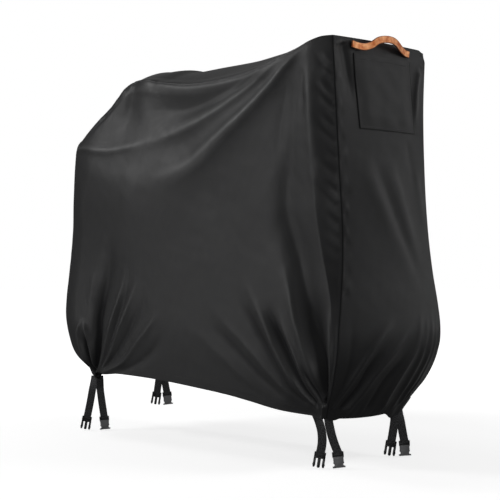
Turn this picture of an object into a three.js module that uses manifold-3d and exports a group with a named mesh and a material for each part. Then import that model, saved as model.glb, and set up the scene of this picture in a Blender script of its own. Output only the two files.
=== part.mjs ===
// Draped cover for an upright exercise bike, with handle, pocket and corner straps.
// Millimetres, +Z up, +X towards the handle end, the near side at -Y.
// Heights in the tables count from the lowest points of the hanging buckles.
import * as THREE from 'three';
import { mergeVertices } from 'three/addons/utils/BufferGeometryUtils.js';
import Module from 'manifold-3d';

const wasm = await Module();
wasm.setup();

// Cloth and seams
const clothThickness = 2;
const seamGap = 0.4;
const seatGap = 0.35;

// Stations of the sheets: along the length, up the height, across the width
const lengthSteps = 46;
const heightSteps = 26;
const widthSteps = 10;
const lengthCrowding = 0.35;
const heightCrowding = 0.45;
const widthCrowding = 0.4;

// Line where the side panels meet the top panel, and the crown of the top above it
const shoulderLine = [
  { x: -556, z: 946, crown: 6 },
  { x: -430, z: 1040, crown: 20 },
  { x: -370, z: 1084, crown: 38 },
  { x: -320, z: 1114, crown: 48 },
  { x: -240, z: 1136, crown: 55 },
  { x: -105, z: 1114, crown: 66 },
  { x: 40, z: 1098, crown: 82 },
  { x: 160, z: 1102, crown: 88 },
  { x: 250, z: 1110, crown: 86 },
  { x: 420, z: 1142, crown: 58 },
  { x: 500, z: 1170, crown: 24 },
  { x: 560, z: 1186, crown: 6 },
  { x: 598, z: 1187, crown: 3 },
];
const crownPower = 1.1;
const shoulderInset = 14;
const shoulderReach = 70;
const insetFade = { from: 420, to: 530 };

// Hem of the side panels, and the dip of the end hems between the corners
const hemLine = [
  { x: -556, z: 190 },
  { x: -400, z: 204 },
  { x: -200, z: 203 },
  { x: 0, z: 193 },
  { x: 200, z: 178 },
  { x: 310, z: 165 },
  { x: 400, z: 153 },
  { x: 520, z: 143 },
  { x: 598, z: 141 },
];
const endHemDip = 12;
const endEdgePower = 4;

// Seams between the side panels and the end panels: place along the length and half width
const frontSeam = [
  { z: 140, x: 551, near: 162, far: 162 },
  { z: 200, x: 588, near: 192, far: 194 },
  { z: 255, x: 613, near: 210, far: 218 },
  { z: 310, x: 632, near: 220, far: 226 },
  { z: 375, x: 640, near: 222, far: 228 },
  { z: 440, x: 634, near: 208, far: 226 },
  { z: 545, x: 619, near: 182, far: 218 },
  { z: 660, x: 608, near: 169, far: 211 },
  { z: 800, x: 603, near: 175, far: 203 },
  { z: 1000, x: 600, near: 187, far: 199 },
  { z: 1190, x: 598, near: 198, far: 210 },
];
const backSeam = [
  { z: 160, x: -516, near: 136, far: 136 },
  { z: 225, x: -560, near: 182, far: 182 },
  { z: 280, x: -584, near: 198, far: 198 },
  { z: 360, x: -598, near: 207, far: 207 },
  { z: 425, x: -599, near: 206, far: 206 },
  { z: 520, x: -588, near: 200, far: 200 },
  { z: 640, x: -573, near: 195, far: 195 },
  { z: 775, x: -568, near: 198, far: 198 },
  { z: 946, x: -556, near: 208, far: 208 },
];

// Half width of the side panels at mid length, towards the back and towards the front
const sideWidth = [
  { z: 150, middle: 196, back: 196, nearFront: 190, farFront: 198 },
  { z: 230, middle: 208, back: 226, nearFront: 210, farFront: 234 },
  { z: 300, middle: 216, back: 244, nearFront: 224, farFront: 252 },
  { z: 375, middle: 220, back: 250, nearFront: 230, farFront: 256 },
  { z: 450, middle: 218, back: 241, nearFront: 226, farFront: 256 },
  { z: 560, middle: 212, back: 222, nearFront: 216, farFront: 252 },
  { z: 700, middle: 207, back: 211, nearFront: 210, farFront: 244 },
  { z: 900, middle: 205, back: 210, nearFront: 208, farFront: 224 },
  { z: 1190, middle: 207, back: 214, nearFront: 220, farFront: 216 },
];
const endShapePower = 3;

// Length over which a side panel turns towards its front and back seams
const frontRounding = [
  { z: 140, length: 20 },
  { z: 440, length: 20 },
  { z: 547, length: 36 },
  { z: 655, length: 58 },
  { z: 770, length: 70 },
  { z: 880, length: 80 },
  { z: 1190, length: 84 },
];
const frontRoundingPower = 1.35;
const backRounding = [
  { z: 140, length: 90 },
  { z: 600, length: 84 },
  { z: 780, length: 56 },
  { z: 946, length: 34 },
];
const backRoundingPower = 2;

// How far the end panels belly out between their seams
const endBelly = [
  { z: 140, out: 10 },
  { z: 375, out: 14 },
  { z: 700, out: 5 },
  { z: 1000, out: 2 },
  { z: 1190, out: 0 },
];

// Folds of the near side panel: ridges are positive and troughs negative
const nearFolds = [
  { fromX: -540, fromZ: 925, viaX: -230, viaZ: 735, toX: 70, toZ: 880, height: 44, width: 150, below: 330 },
  { fromX: 475, fromZ: 1148, viaX: 140, viaZ: 1050, toX: -240, toZ: 1137, height: 16, width: 24 },
  { fromX: 400, fromZ: 1100, viaX: 130, viaZ: 1000, toX: -165, toZ: 1076, height: -14, width: 36 },
  { fromX: 475, fromZ: 1157, viaX: 100, viaZ: 960, toX: -340, toZ: 930, height: 18, width: 40, below: 30 },
  { fromX: 470, fromZ: 1146, viaX: 210, viaZ: 940, toX: -60, toZ: 842, height: 20, width: 36, below: 48 },
  { fromX: 447, fromZ: 930, viaX: 360, viaZ: 700, toX: 498, toZ: 492, height: -18, width: 38 },
  { fromX: 450, fromZ: 570, viaX: 570, viaZ: 400, toX: 570, toZ: 230, height: -18, width: 26 },
  { fromX: -240, fromZ: 1136, viaX: -252, viaZ: 1060, toX: -266, toZ: 975, height: -10, width: 26 },
];

// Folds of the far side panel, which hangs plainer
const farFolds = [
  { fromX: -540, fromZ: 930, viaX: -250, viaZ: 745, toX: 60, toZ: 885, height: 37, width: 150, below: 330 },
  { fromX: 440, fromZ: 1120, viaX: 160, viaZ: 990, toX: -300, toZ: 950, height: 14, width: 36 },
  { fromX: 430, fromZ: 1100, viaX: 220, viaZ: 940, toX: -40, toZ: 850, height: 14, width: 40 },
  { fromX: -250, fromZ: 1130, viaX: -260, viaZ: 1060, toX: -280, toZ: 990, height: -8, width: 26 },
];

// Folds of the front panel below the pocket, placed by width and height
const frontFolds = [
  { fromX: -100, fromZ: 905, viaX: -45, viaZ: 775, toX: 25, toZ: 690, height: 8, width: 20 },
  { fromX: -40, fromZ: 880, viaX: 0, viaZ: 780, toX: 60, toZ: 690, height: -6, width: 18 },
  { fromX: 15, fromZ: 875, viaX: 50, viaZ: 800, toX: 95, toZ: 710, height: 7, width: 20 },
  { fromX: 110, fromZ: 900, viaX: 130, viaZ: 800, toX: 150, toZ: 700, height: -6, width: 18 },
];
const backFolds = [
  { fromX: -90, fromZ: 860, viaX: -30, viaZ: 700, toX: 40, toZ: 560, height: 7, width: 34 },
  { fromX: 90, fromZ: 820, viaX: 60, viaZ: 660, toX: 70, toZ: 520, height: -6, width: 34 },
];
const foldSteps = 14;
const foldTaper = { from: -0.02, to: 0.22 };
const foldSeamFade = 45;
const endFoldFade = 0.25;

// Corners where the straps draw the hem together: gathering point, neck and fan of folds
const strapCorners = [
  { name: 'near_front', x: 527, y: -150, drop: 8, neck: 32, reach: 130, height: 11, folds: 10, turn: 0.4 },
  { name: 'far_front', x: 534, y: 136, drop: 18, neck: 80, reach: 105, height: 10, folds: 9, turn: 1.3 },
  { name: 'near_back', x: -502, y: -126, drop: 18, neck: 26, reach: 120, height: 11, folds: 9, turn: 0.9 },
  { name: 'far_back', x: -504, y: 128, drop: 18, neck: 26, reach: 120, height: 10, folds: 8, turn: 2.2 },
].map((row) => ({ ...row, end: Math.sign(row.x), side: Math.sign(row.y) }));
const gatherStrength = 0.66;
const neckHeight = 80;
const neckCore = 0.5;
const fanNear = 120;
const fanReach = 380;
const fineFan = { folds: 1.63, turn: 2.1, share: 0.35 };

// Patch pocket on the front panel, as shares of the panel's half width
const pocketHeight = { bottom: 940, top: 1148 };
const pocketLeft = { bottom: -0.53, top: -0.6 };
const pocketRight = { bottom: 0.82, top: 0.66 };
const pocketThickness = 1.6;
const pocketSteps = 8;

// Leather handle: its line across the front panel, its standing out and its rise
const handleLine = [
  { y: -124, out: 0, rise: 0 },
  { y: -106, out: 1, rise: -1 },
  { y: -86, out: 8, rise: -2 },
  { y: -62, out: 18, rise: 3 },
  { y: -40, out: 24, rise: 15 },
  { y: -15, out: 26, rise: 25 },
  { y: 17, out: 24, rise: 28 },
  { y: 48, out: 18, rise: 23 },
  { y: 77, out: 9, rise: 11 },
  { y: 106, out: 1, rise: 1 },
  { y: 124, out: 0, rise: -3 },
];
const handleHeight = 1170;
const handleWidth = 20;
const handleThickness = 4.5;
const handleRounding = 1.5;
const handleSteps = 26;

// Webbing tails and side-release buckles, which hang facing the near front corner
const facingAngle = THREE.MathUtils.degToRad(45.6);
const webbingWidth = 25;
const webbingThickness = 1.6;
const webbingSteps = 5;
const tailSwing = 0.6;
const webbingPlayWidth = 0.6;
const tailSpacing = webbingThickness + seatGap;
const hemSamples = 16;
const buckleLength = 44;
const buckleSlotDepth = 7;
const tailInSlot = 6.5;
const cutPast = 1;
const mergeTolerance = 1e-4;
const prongsDepth = 7;
const socketDepth = 11;
const prongsHalf = [
  { x: 1.6, z: 0 }, { x: 2.6, z: 3 }, { x: 2.6, z: 24 }, { x: 4.6, z: 26 }, { x: 10, z: 26 },
  { x: 12, z: 23 }, { x: 11.5, z: 6 }, { x: 13, z: 1 }, { x: 15.5, z: 1.5 }, { x: 17.3, z: 10 },
  { x: 15.5, z: 23 }, { x: 16, z: 28 }, { x: 15.5, z: 42 }, { x: 14, z: 44 },
];
const socketHalf = [
  { x: 16.5, z: 0 }, { x: 18, z: 1.5 }, { x: 18, z: 11 }, { x: 16.5, z: 13 }, { x: 14.3, z: 15 },
  { x: 13.5, z: 19 }, { x: 14.1, z: 26 }, { x: 16, z: 32 }, { x: 15.5, z: 42.5 }, { x: 14, z: 44 },
];
const socketCavity = { width: 25, depth: 7, height: 24 };
const tails = [
  { corner: 'near_front', half: 'prongs', across: -24, lean: -9, layer: 0, foot: 0 },
  { corner: 'near_front', half: 'socket', across: 35, lean: 6, layer: 1, foot: 0 },
  { corner: 'far_front', half: 'prongs', across: -24, lean: -9, layer: 0, foot: 0 },
  { corner: 'far_front', half: 'socket', across: 23, lean: 3, layer: 1, foot: 0 },
  { corner: 'near_back', half: 'prongs', across: -39, lean: -10, layer: 0, foot: 0 },
  { corner: 'near_back', half: 'socket', across: 29, lean: 5, layer: 1, foot: 0 },
  { corner: 'far_back', half: 'prongs', across: -22, lean: -9, layer: 0, foot: 60 },
  { corner: 'far_back', half: 'socket', across: 24, lean: 6, layer: 1, foot: 60 },
];

const { clamp, lerp, smoothstep } = THREE.MathUtils;

// Smooth value of one column of a table at a place along its key column
function readTable(rows, key, column, at) {
  const last = rows.length - 1;
  const place = clamp(at, rows[0][key], rows[last][key]);
  let i = 0;
  while (i < last - 1 && place > rows[i + 1][key]) {
    i += 1;
  }
  const slope = (j) => {
    const before = rows[Math.max(j - 1, 0)];
    const after = rows[Math.min(j + 1, last)];
    return (after[column] - before[column]) / (after[key] - before[key]);
  };
  const span = rows[i + 1][key] - rows[i][key];
  const t = (place - rows[i][key]) / span;
  const blend = 3 * t ** 2 - 2 * t ** 3;
  const leaving = slope(i) * span * (t ** 3 - 2 * t ** 2 + t);
  const arriving = slope(i + 1) * span * (t ** 3 - t ** 2);
  return lerp(rows[i][column], rows[i + 1][column], blend) + leaving + arriving;
}

// Stations from 0 to 1 that stand closer together towards both ends
function stations(steps, crowding) {
  const turn = 2 * Math.PI;
  const place = (i) => i / steps - (crowding * Math.sin((turn * i) / steps)) / turn;
  return Array.from({ length: steps + 1 }, (_, i) => place(i));
}

// Height of a list of folds at a place on its panel
function foldHeight(folds, across, up) {
  let total = 0;
  for (const fold of folds) {
    let nearest = Infinity;
    let share = 0;
    let isBelow = false;
    for (let i = 0; i <= foldSteps; i += 1) {
      const t = i / foldSteps;
      const x = (1 - t) ** 2 * fold.fromX + 2 * t * (1 - t) * fold.viaX + t ** 2 * fold.toX;
      const z = (1 - t) ** 2 * fold.fromZ + 2 * t * (1 - t) * fold.viaZ + t ** 2 * fold.toZ;
      const distance = Math.hypot(across - x, up - z);
      if (distance < nearest) {
        nearest = distance;
        share = t;
        isBelow = up < z;
      }
    }
    const start = smoothstep(share, foldTaper.from, foldTaper.to);
    const end = smoothstep(1 - share, foldTaper.from, foldTaper.to);
    const width = isBelow && fold.below ? fold.below : fold.width;
    total += fold.height * start * end * Math.exp(-((nearest / width) ** 2));
  }
  return total;
}

// Height of the fan of folds above a strap corner, by distance past the seam and height above the hem
function fanHeight(corner, pastSeam, up) {
  const reach = Math.hypot(pastSeam, up);
  const angle = Math.atan2(pastSeam, Math.max(up, 1));
  const rise = smoothstep(reach, 0, fanNear);
  const fade = 1 - smoothstep(reach, fanNear, fanReach);
  const coarse = Math.cos(corner.folds * angle + corner.turn);
  const fine = Math.cos(fineFan.folds * corner.folds * angle + fineFan.turn * corner.turn);
  return corner.height * rise * fade * lerp(coarse, fine, fineFan.share);
}

// One place on the cloth, with the height of its folds and its outward direction
function spotAt(x, y, z, fold) {
  return { point: new THREE.Vector3(x, y, z), fold, normal: new THREE.Vector3() };
}

// The pull of the straps draws the cloth in towards the corner points
function drawIn(spot) {
  for (const corner of strapCorners) {
    const inward = new THREE.Vector2(corner.x - spot.point.x, corner.y - spot.point.y);
    const up = Math.max(spot.point.z - heightAtHem(corner.end), 0);
    const away = Math.min(Math.hypot(inward.length(), up) / corner.reach, 1);
    const pull = gatherStrength * (1 - away ** 2) ** 2;
    spot.point.x += inward.x * pull;
    spot.point.y += inward.y * pull;
  }
}

// The hem around each corner seam hangs down in a narrow neck
function drawDown(spots, corner, seamPoint) {
  for (const spot of spots) {
    const left = Math.hypot(spot.point.x - seamPoint.x, spot.point.y - seamPoint.y);
    const up = Math.max(spot.point.z - heightAtHem(corner.end), 0);
    const core = 1 - smoothstep(left, neckCore * corner.neck, corner.neck);
    spot.point.z -= corner.drop * core * (1 - smoothstep(up, 0, neckHeight));
  }
}

const backCornerX = shoulderLine[0].x;
const frontCornerX = shoulderLine[shoulderLine.length - 1].x;

// Place on a side panel: u from the back seam to the front seam, v from the hem to the shoulder
function sideSpot(side, folds, u, v) {
  const heightAt = (share) => {
    const x = lerp(backCornerX, frontCornerX, share);
    return lerp(readTable(hemLine, 'x', 'z', x), readTable(shoulderLine, 'x', 'z', x), v);
  };
  const z = heightAt(u);
  const cornerX = lerp(backCornerX, frontCornerX, u);
  const shoulder = readTable(shoulderLine, 'x', 'z', cornerX);
  const backX = readTable(backSeam, 'z', 'x', heightAt(0));
  const frontX = readTable(frontSeam, 'z', 'x', heightAt(1));
  const x = lerp(backX, frontX, u);
  const endShare = Math.abs(2 * u - 1) ** endShapePower;
  const hand = side < 0 ? 'near' : 'far';
  const endColumn = u < 0.5 ? 'back' : `${hand}Front`;
  let half = lerp(readTable(sideWidth, 'z', 'middle', z), readTable(sideWidth, 'z', endColumn, z), endShare);
  const frontTurn = readTable(frontRounding, 'z', 'length', z);
  const backTurn = readTable(backRounding, 'z', 'length', z);
  const frontShare = clamp(1 - (frontX - x) / frontTurn, 0, 1) ** frontRoundingPower;
  const backShare = clamp(1 - (x - backX) / backTurn, 0, 1) ** backRoundingPower;
  half = lerp(half, readTable(frontSeam, 'z', hand, heightAt(1)), frontShare);
  half = lerp(half, readTable(backSeam, 'z', hand, heightAt(0)), backShare);
  const inset = shoulderInset * (1 - smoothstep(cornerX, insetFade.from, insetFade.to));
  half -= inset * clamp(1 - (shoulder - z) / shoulderReach, 0, 1) ** 2;
  const seamFade = smoothstep(Math.min(frontX - x, x - backX), 0, foldSeamFade);
  let fold = seamFade * foldHeight(folds, x, z);
  for (const corner of strapCorners.filter((row) => row.side === side)) {
    const pastSeam = corner.end > 0 ? x - frontX : backX - x;
    fold += fanHeight(corner, pastSeam, z - heightAtHem(corner.end));
  }
  return spotAt(x, side * half, z, fold);
}

function heightAtHem(end) {
  return readTable(hemLine, 'x', 'z', end > 0 ? frontCornerX : backCornerX);
}

// Place on an end panel between the seam edges of the two side panels: w from -1 to 1
function endSpot(end, folds, nearEdge, farEdge, w, v) {
  const point = nearEdge.clone().lerp(farEdge, (w + 1) / 2);
  const arch = 1 - w ** 2;
  const crown = readTable(shoulderLine, 'x', 'crown', end > 0 ? frontCornerX : backCornerX);
  point.x += end * arch * readTable(endBelly, 'z', 'out', point.z);
  let fold = foldHeight(folds, point.y, point.z) * smoothstep(1 - Math.abs(w), 0, endFoldFade);
  for (const corner of strapCorners.filter((row) => row.end === end)) {
    const edge = corner.side > 0 ? farEdge : nearEdge;
    fold += fanHeight(corner, Math.abs(point.y - edge.y), point.z - heightAtHem(end));
  }
  point.z += crown * arch ** crownPower * v ** endEdgePower;
  point.z -= endHemDip * arch * (1 - v) ** endEdgePower;
  return spotAt(point.x, point.y, point.z, fold);
}

// Place on the top panel between the shoulder edges
function topSpot(nearEdge, farEdge, x, w) {
  const point = nearEdge.clone().lerp(farEdge, (w + 1) / 2);
  point.z += readTable(shoulderLine, 'x', 'crown', x) * (1 - w ** 2) ** crownPower;
  return spotAt(point.x, point.y, point.z, 0);
}

// The five sheets as grids that share their spots along the seams
function layPanels() {
  const us = stations(lengthSteps, lengthCrowding);
  const vs = stations(heightSteps, heightCrowding);
  const ws = stations(widthSteps, widthCrowding).map((t) => 2 * t - 1);
  const near = us.map((u) => vs.map((v) => sideSpot(-1, nearFolds, u, v)));
  const far = us.map((u) => vs.map((v) => sideSpot(1, farFolds, u, v)));
  const between = (k, nearSpot, farSpot, make) => {
    if (k === 0) {
      return nearSpot;
    }
    return k === widthSteps ? farSpot : make();
  };
  const endGrid = (i, end, folds) => ws.map((w, k) => vs.map((v, j) => between(k, near[i][j], far[i][j],
    () => endSpot(end, folds, near[i][j].point, far[i][j].point, w, v))));
  const front = endGrid(lengthSteps, 1, frontFolds);
  const back = endGrid(0, -1, backFolds);
  const top = us.map((u, i) => ws.map((w, k) => {
    const nearSpot = near[i][heightSteps];
    const farSpot = far[i][heightSteps];
    if (i === 0) {
      return back[k][heightSteps];
    }
    if (i === lengthSteps) {
      return front[k][heightSteps];
    }
    const x = lerp(backCornerX, frontCornerX, u);
    return between(k, nearSpot, farSpot, () => topSpot(nearSpot.point, farSpot.point, x, w));
  }));
  return { near, far, front, back, top };
}

// Outward directions of all spots from the faces around them
const outwardTurn = { near: 1, far: -1, front: 1, back: -1, top: 1 };
function pointOutward(panels) {
  const spots = new Set(Object.values(panels).flat(2));
  spots.forEach((spot) => spot.normal.set(0, 0, 0));
  for (const [name, grid] of Object.entries(panels)) {
    for (let i = 0; i + 1 < grid.length; i += 1) {
      for (let j = 0; j + 1 < grid[0].length; j += 1) {
        const corners = [grid[i][j], grid[i + 1][j], grid[i + 1][j + 1], grid[i][j + 1]];
        const across = corners[2].point.clone().sub(corners[0].point);
        const up = corners[3].point.clone().sub(corners[1].point);
        const face = across.cross(up).multiplyScalar(outwardTurn[name]);
        corners.forEach((spot) => spot.normal.add(face));
      }
    }
  }
  spots.forEach((spot) => spot.normal.normalize());
  return spots;
}

// A closed sheet from outer and inner points, each cell split along its more even diagonal
function sheetGeometry(outer, inner, turn, folds) {
  const rows = outer.length;
  const columns = outer[0].length;
  const points = [...outer.flat(), ...inner.flat()];
  const index = [];
  const id = (layer, i, j) => layer * rows * columns + i * columns + j;
  const quad = (a, b, c, d) => {
    index.push(...(turn > 0 ? [a, b, c, a, c, d] : [a, c, b, a, d, c]));
  };
  const evener = (i, j) => {
    const rising = Math.abs(folds[i][j] - folds[i + 1][j + 1]);
    return rising <= Math.abs(folds[i + 1][j] - folds[i][j + 1]);
  };
  for (let i = 0; i + 1 < rows; i += 1) {
    for (let j = 0; j + 1 < columns; j += 1) {
      const face = [id(0, i, j), id(0, i + 1, j), id(0, i + 1, j + 1), id(0, i, j + 1)];
      const lining = [id(1, i, j), id(1, i, j + 1), id(1, i + 1, j + 1), id(1, i + 1, j)];
      if (folds && !evener(i, j)) {
        face.push(face.shift());
        lining.push(lining.shift());
      }
      quad(...face);
      quad(...lining);
    }
  }
  for (let i = 0; i + 1 < rows; i += 1) {
    quad(id(1, i, 0), id(1, i + 1, 0), id(0, i + 1, 0), id(0, i, 0));
    quad(id(0, i, columns - 1), id(0, i + 1, columns - 1), id(1, i + 1, columns - 1), id(1, i, columns - 1));
  }
  for (let j = 0; j + 1 < columns; j += 1) {
    quad(id(0, 0, j), id(0, 0, j + 1), id(1, 0, j + 1), id(1, 0, j));
    quad(id(1, rows - 1, j), id(1, rows - 1, j + 1), id(0, rows - 1, j + 1), id(0, rows - 1, j));
  }
  const geometry = new THREE.BufferGeometry().setFromPoints(points);
  geometry.setIndex(index);
  return geometry;
}

// A panel as a closed sheet that stops short of its seams
function panelGeometry(grid, turn, hemAtStart) {
  const rows = grid.length;
  const columns = grid[0].length;
  const step = (value, count) => (value === 0 ? 1 : 0) - (value === count - 1 ? 1 : 0);
  const outer = grid.map((line, i) => line.map((spot, j) => {
    const point = spot.point.clone();
    const sideways = step(i, rows);
    const upward = hemAtStart && j === 0 ? 0 : step(j, columns);
    if (sideways !== 0) {
      point.add(grid[i + sideways][j].point.clone().sub(spot.point).setLength(seamGap / 2));
    }
    if (upward !== 0) {
      point.add(grid[i][j + upward].point.clone().sub(spot.point).setLength(seamGap / 2));
    }
    return point;
  }));
  const inner = outer.map((line, i) => line.map((point, j) => {
    return point.clone().addScaledVector(grid[i][j].normal, -clothThickness);
  }));
  return sheetGeometry(outer, inner, turn, grid.map((line) => line.map((spot) => spot.fold)));
}

// Place on the flat upper part of the front panel, by share of its half width and by height
const frontTopHeight = readTable(shoulderLine, 'x', 'z', frontCornerX);
function onFront(w, z) {
  const v = (z - heightAtHem(1)) / (frontTopHeight - heightAtHem(1));
  const nearEdge = sideSpot(-1, [], 1, v).point;
  const farEdge = sideSpot(1, [], 1, v).point;
  return endSpot(1, [], nearEdge, farEdge, w, v).point;
}

function pocketGeometry() {
  const shares = Array.from({ length: pocketSteps + 1 }, (_, i) => i / pocketSteps);
  const layer = (out) => shares.map((s) => shares.map((t) => {
    const left = lerp(pocketLeft.bottom, pocketLeft.top, t);
    const right = lerp(pocketRight.bottom, pocketRight.top, t);
    const point = onFront(lerp(left, right, s), lerp(pocketHeight.bottom, pocketHeight.top, t));
    point.x += out;
    return point;
  }));
  return sheetGeometry(layer(seamGap + pocketThickness), layer(seamGap), 1);
}

// A strap with a rounded section along a line, flat towards +X where it lies on the panel
function handleGeometry() {
  const flat = handleWidth / 2 - handleRounding;
  const half = handleThickness / 2;
  const section = [
    [-half + handleRounding, -handleWidth / 2], [half - handleRounding, -handleWidth / 2],
    [half, -flat], [half, flat],
    [half - handleRounding, handleWidth / 2], [-half + handleRounding, handleWidth / 2],
    [-half, flat], [-half, -flat],
  ];
  const base = onFront(0, handleHeight).x + seatGap + half;
  const line = new THREE.CatmullRomCurve3(handleLine.map((row) => {
    return new THREE.Vector3(base + row.out, row.y, handleHeight + row.rise);
  }));
  const points = [];
  const index = [];
  for (let i = 0; i <= handleSteps; i += 1) {
    const centre = line.getPoint(i / handleSteps);
    const along = line.getTangent(i / handleSteps);
    const outward = new THREE.Vector3(1, 0, 0).addScaledVector(along, -along.x).normalize();
    const upward = outward.clone().cross(along);
    for (const [out, up] of section) {
      points.push(centre.clone().addScaledVector(outward, out).addScaledVector(upward, up));
    }
  }
  const sides = section.length;
  for (let i = 0; i < handleSteps; i += 1) {
    for (let k = 0; k < sides; k += 1) {
      const a = i * sides + k;
      const b = i * sides + ((k + 1) % sides);
      index.push(a, a + sides, b + sides, a, b + sides, b);
    }
  }
  const lastRing = handleSteps * sides;
  for (let k = 1; k + 1 < sides; k += 1) {
    index.push(0, k, k + 1, lastRing, lastRing + k + 1, lastRing + k);
  }
  const geometry = new THREE.BufferGeometry().setFromPoints(points);
  geometry.setIndex(index);
  return geometry;
}

// Closed solid of a geometry, for cutting
function toSolid(geometry) {
  const bare = geometry.clone();
  bare.deleteAttribute('normal');
  bare.deleteAttribute('uv');
  const merged = mergeVertices(bare, mergeTolerance);
  const vertProperties = new Float32Array(merged.attributes.position.array);
  const triVerts = new Uint32Array(merged.index.array);
  return new wasm.Manifold(new wasm.Mesh({ numProp: 3, vertProperties, triVerts }));
}

function toGeometry(solid) {
  const mesh = solid.getMesh();
  const geometry = new THREE.BufferGeometry();
  geometry.setAttribute('position', new THREE.BufferAttribute(new Float32Array(mesh.vertProperties), 3));
  geometry.setIndex(Array.from(mesh.triVerts));
  return geometry;
}

// A box cut into a buckle half: width, depth, height and the height of its lower face
function cutter(width, depth, height, bottom) {
  return toSolid(new THREE.BoxGeometry(width, depth, height).translate(0, 0, bottom + height / 2));
}

// Buckle halves stand in the XZ plane with the webbing slot at the top and their lowest point at zero
const webbingSlot = cutter(
  webbingWidth + 2 * webbingPlayWidth,
  webbingThickness + 2 * seatGap,
  buckleSlotDepth + cutPast,
  buckleLength - buckleSlotDepth,
);
function buckleSolid(halfOutline, depth) {
  const right = halfOutline.map(({ x, z }) => new THREE.Vector2(x, z));
  const left = halfOutline.map(({ x, z }) => new THREE.Vector2(-x, z)).reverse();
  const shape = new THREE.Shape([...right, ...left]);
  const geometry = new THREE.ExtrudeGeometry(shape, { depth, bevelEnabled: false });
  geometry.translate(0, 0, -depth / 2).rotateX(Math.PI / 2);
  return toSolid(geometry).subtract(webbingSlot);
}

function prongsGeometry() {
  return toGeometry(buckleSolid(prongsHalf, prongsDepth));
}

function socketGeometry() {
  const cavity = cutter(socketCavity.width, socketCavity.depth, socketCavity.height + cutPast, -cutPast);
  return toGeometry(buckleSolid(socketHalf, socketDepth).subtract(cavity));
}

// Webbing tail in its own plane, from the hem corner down to the mouth and the end of its buckle slot
function tailGeometry(top, mouth, end, lean) {
  const shares = Array.from({ length: webbingSteps + 1 }, (_, i) => i / webbingSteps);
  const swing = (t) => t + tailSwing * t * (1 - t);
  const rows = shares.map((t) => {
    const centre = top.clone().lerp(mouth, t);
    centre.x = lerp(top.x, mouth.x, swing(t));
    return { centre, angle: lean * t };
  });
  rows.push({ centre: end, angle: lean });
  const layer = (depth) => [-1, 1].map((side) => rows.map(({ centre, angle }) => {
    const across = (side * webbingWidth) / 2;
    const edge = new THREE.Vector3(across * Math.cos(angle), depth, across * Math.sin(angle));
    return centre.clone().add(edge);
  }));
  return sheetGeometry(layer(-webbingThickness / 2), layer(webbingThickness / 2), -1);
}

// Lowest place of a hem over the footprint of the two tails that start at a corner
function lowestOver(hem, corner) {
  const shares = Array.from({ length: hemSamples + 1 }, (_, i) => i / hemSamples);
  const halfWidth = webbingWidth / 2 + seatGap;
  const halfDepth = (webbingThickness + tailSpacing) / 2 + seatGap;
  const middle = tailSpacing / 2;
  const up = new THREE.Vector3(0, 0, 1);
  let lowest = Infinity;
  const look = (from, to, along, inward) => {
    const point = from.point.clone().lerp(to.point, along);
    point.addScaledVector(from.normal.clone().lerp(to.normal, along), -inward * clothThickness);
    const place = point.clone().sub(corner).applyAxisAngle(up, -facingAngle);
    if (Math.abs(place.x) < halfWidth && Math.abs(place.y - middle) < halfDepth) {
      lowest = Math.min(lowest, point.z);
    }
  };
  for (let i = 0; i + 1 < hem.length; i += 1) {
    shares.forEach((along) => shares.forEach((inward) => look(hem[i], hem[i + 1], along, inward)));
  }
  return lowest;
}

// Finishes
const colours = { cloth: 0x343436, pocket: 0x363638, leather: 0xc47a45, webbing: 0x1e1e1f, prongs: 0x161617,
  socket: 0x47474a };
const finishes = {
  cloth: { color: colours.cloth, roughness: 0.62, metalness: 0 },
  pocket: { color: colours.pocket, roughness: 0.6, metalness: 0 },
  leather: { color: colours.leather, roughness: 0.5, metalness: 0 },
  webbing: { color: colours.webbing, roughness: 0.85, metalness: 0 },
  prongs: { color: colours.prongs, roughness: 0.45, metalness: 0 },
  socket: { color: colours.socket, roughness: 0.55, metalness: 0 },
};
function piece(name, geometry, finish) {
  const mesh = new THREE.Mesh(geometry, new THREE.MeshStandardMaterial(finishes[finish]));
  mesh.name = name;
  return mesh;
}

const panels = layPanels();
const allSpots = pointOutward(panels);
allSpots.forEach((spot) => {
  spot.point.addScaledVector(spot.normal, spot.fold);
  drawIn(spot);
});
const hemSpotOf = (corner) => {
  const grid = corner.side < 0 ? panels.near : panels.far;
  return grid[corner.end > 0 ? lengthSteps : 0][0];
};
strapCorners.forEach((corner) => drawDown(allSpots, corner, hemSpotOf(corner).point.clone()));
pointOutward(panels);

const cover = new THREE.Group();
cover.add(piece('near_side_panel', panelGeometry(panels.near, outwardTurn.near, true), 'cloth'));
cover.add(piece('far_side_panel', panelGeometry(panels.far, outwardTurn.far, true), 'cloth'));
cover.add(piece('front_panel', panelGeometry(panels.front, outwardTurn.front, true), 'cloth'));
cover.add(piece('back_panel', panelGeometry(panels.back, outwardTurn.back, true), 'cloth'));
cover.add(piece('top_panel', panelGeometry(panels.top, outwardTurn.top, false), 'cloth'));
cover.add(piece('pocket', pocketGeometry(), 'pocket'));
cover.add(piece('handle', handleGeometry(), 'leather'));

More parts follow.
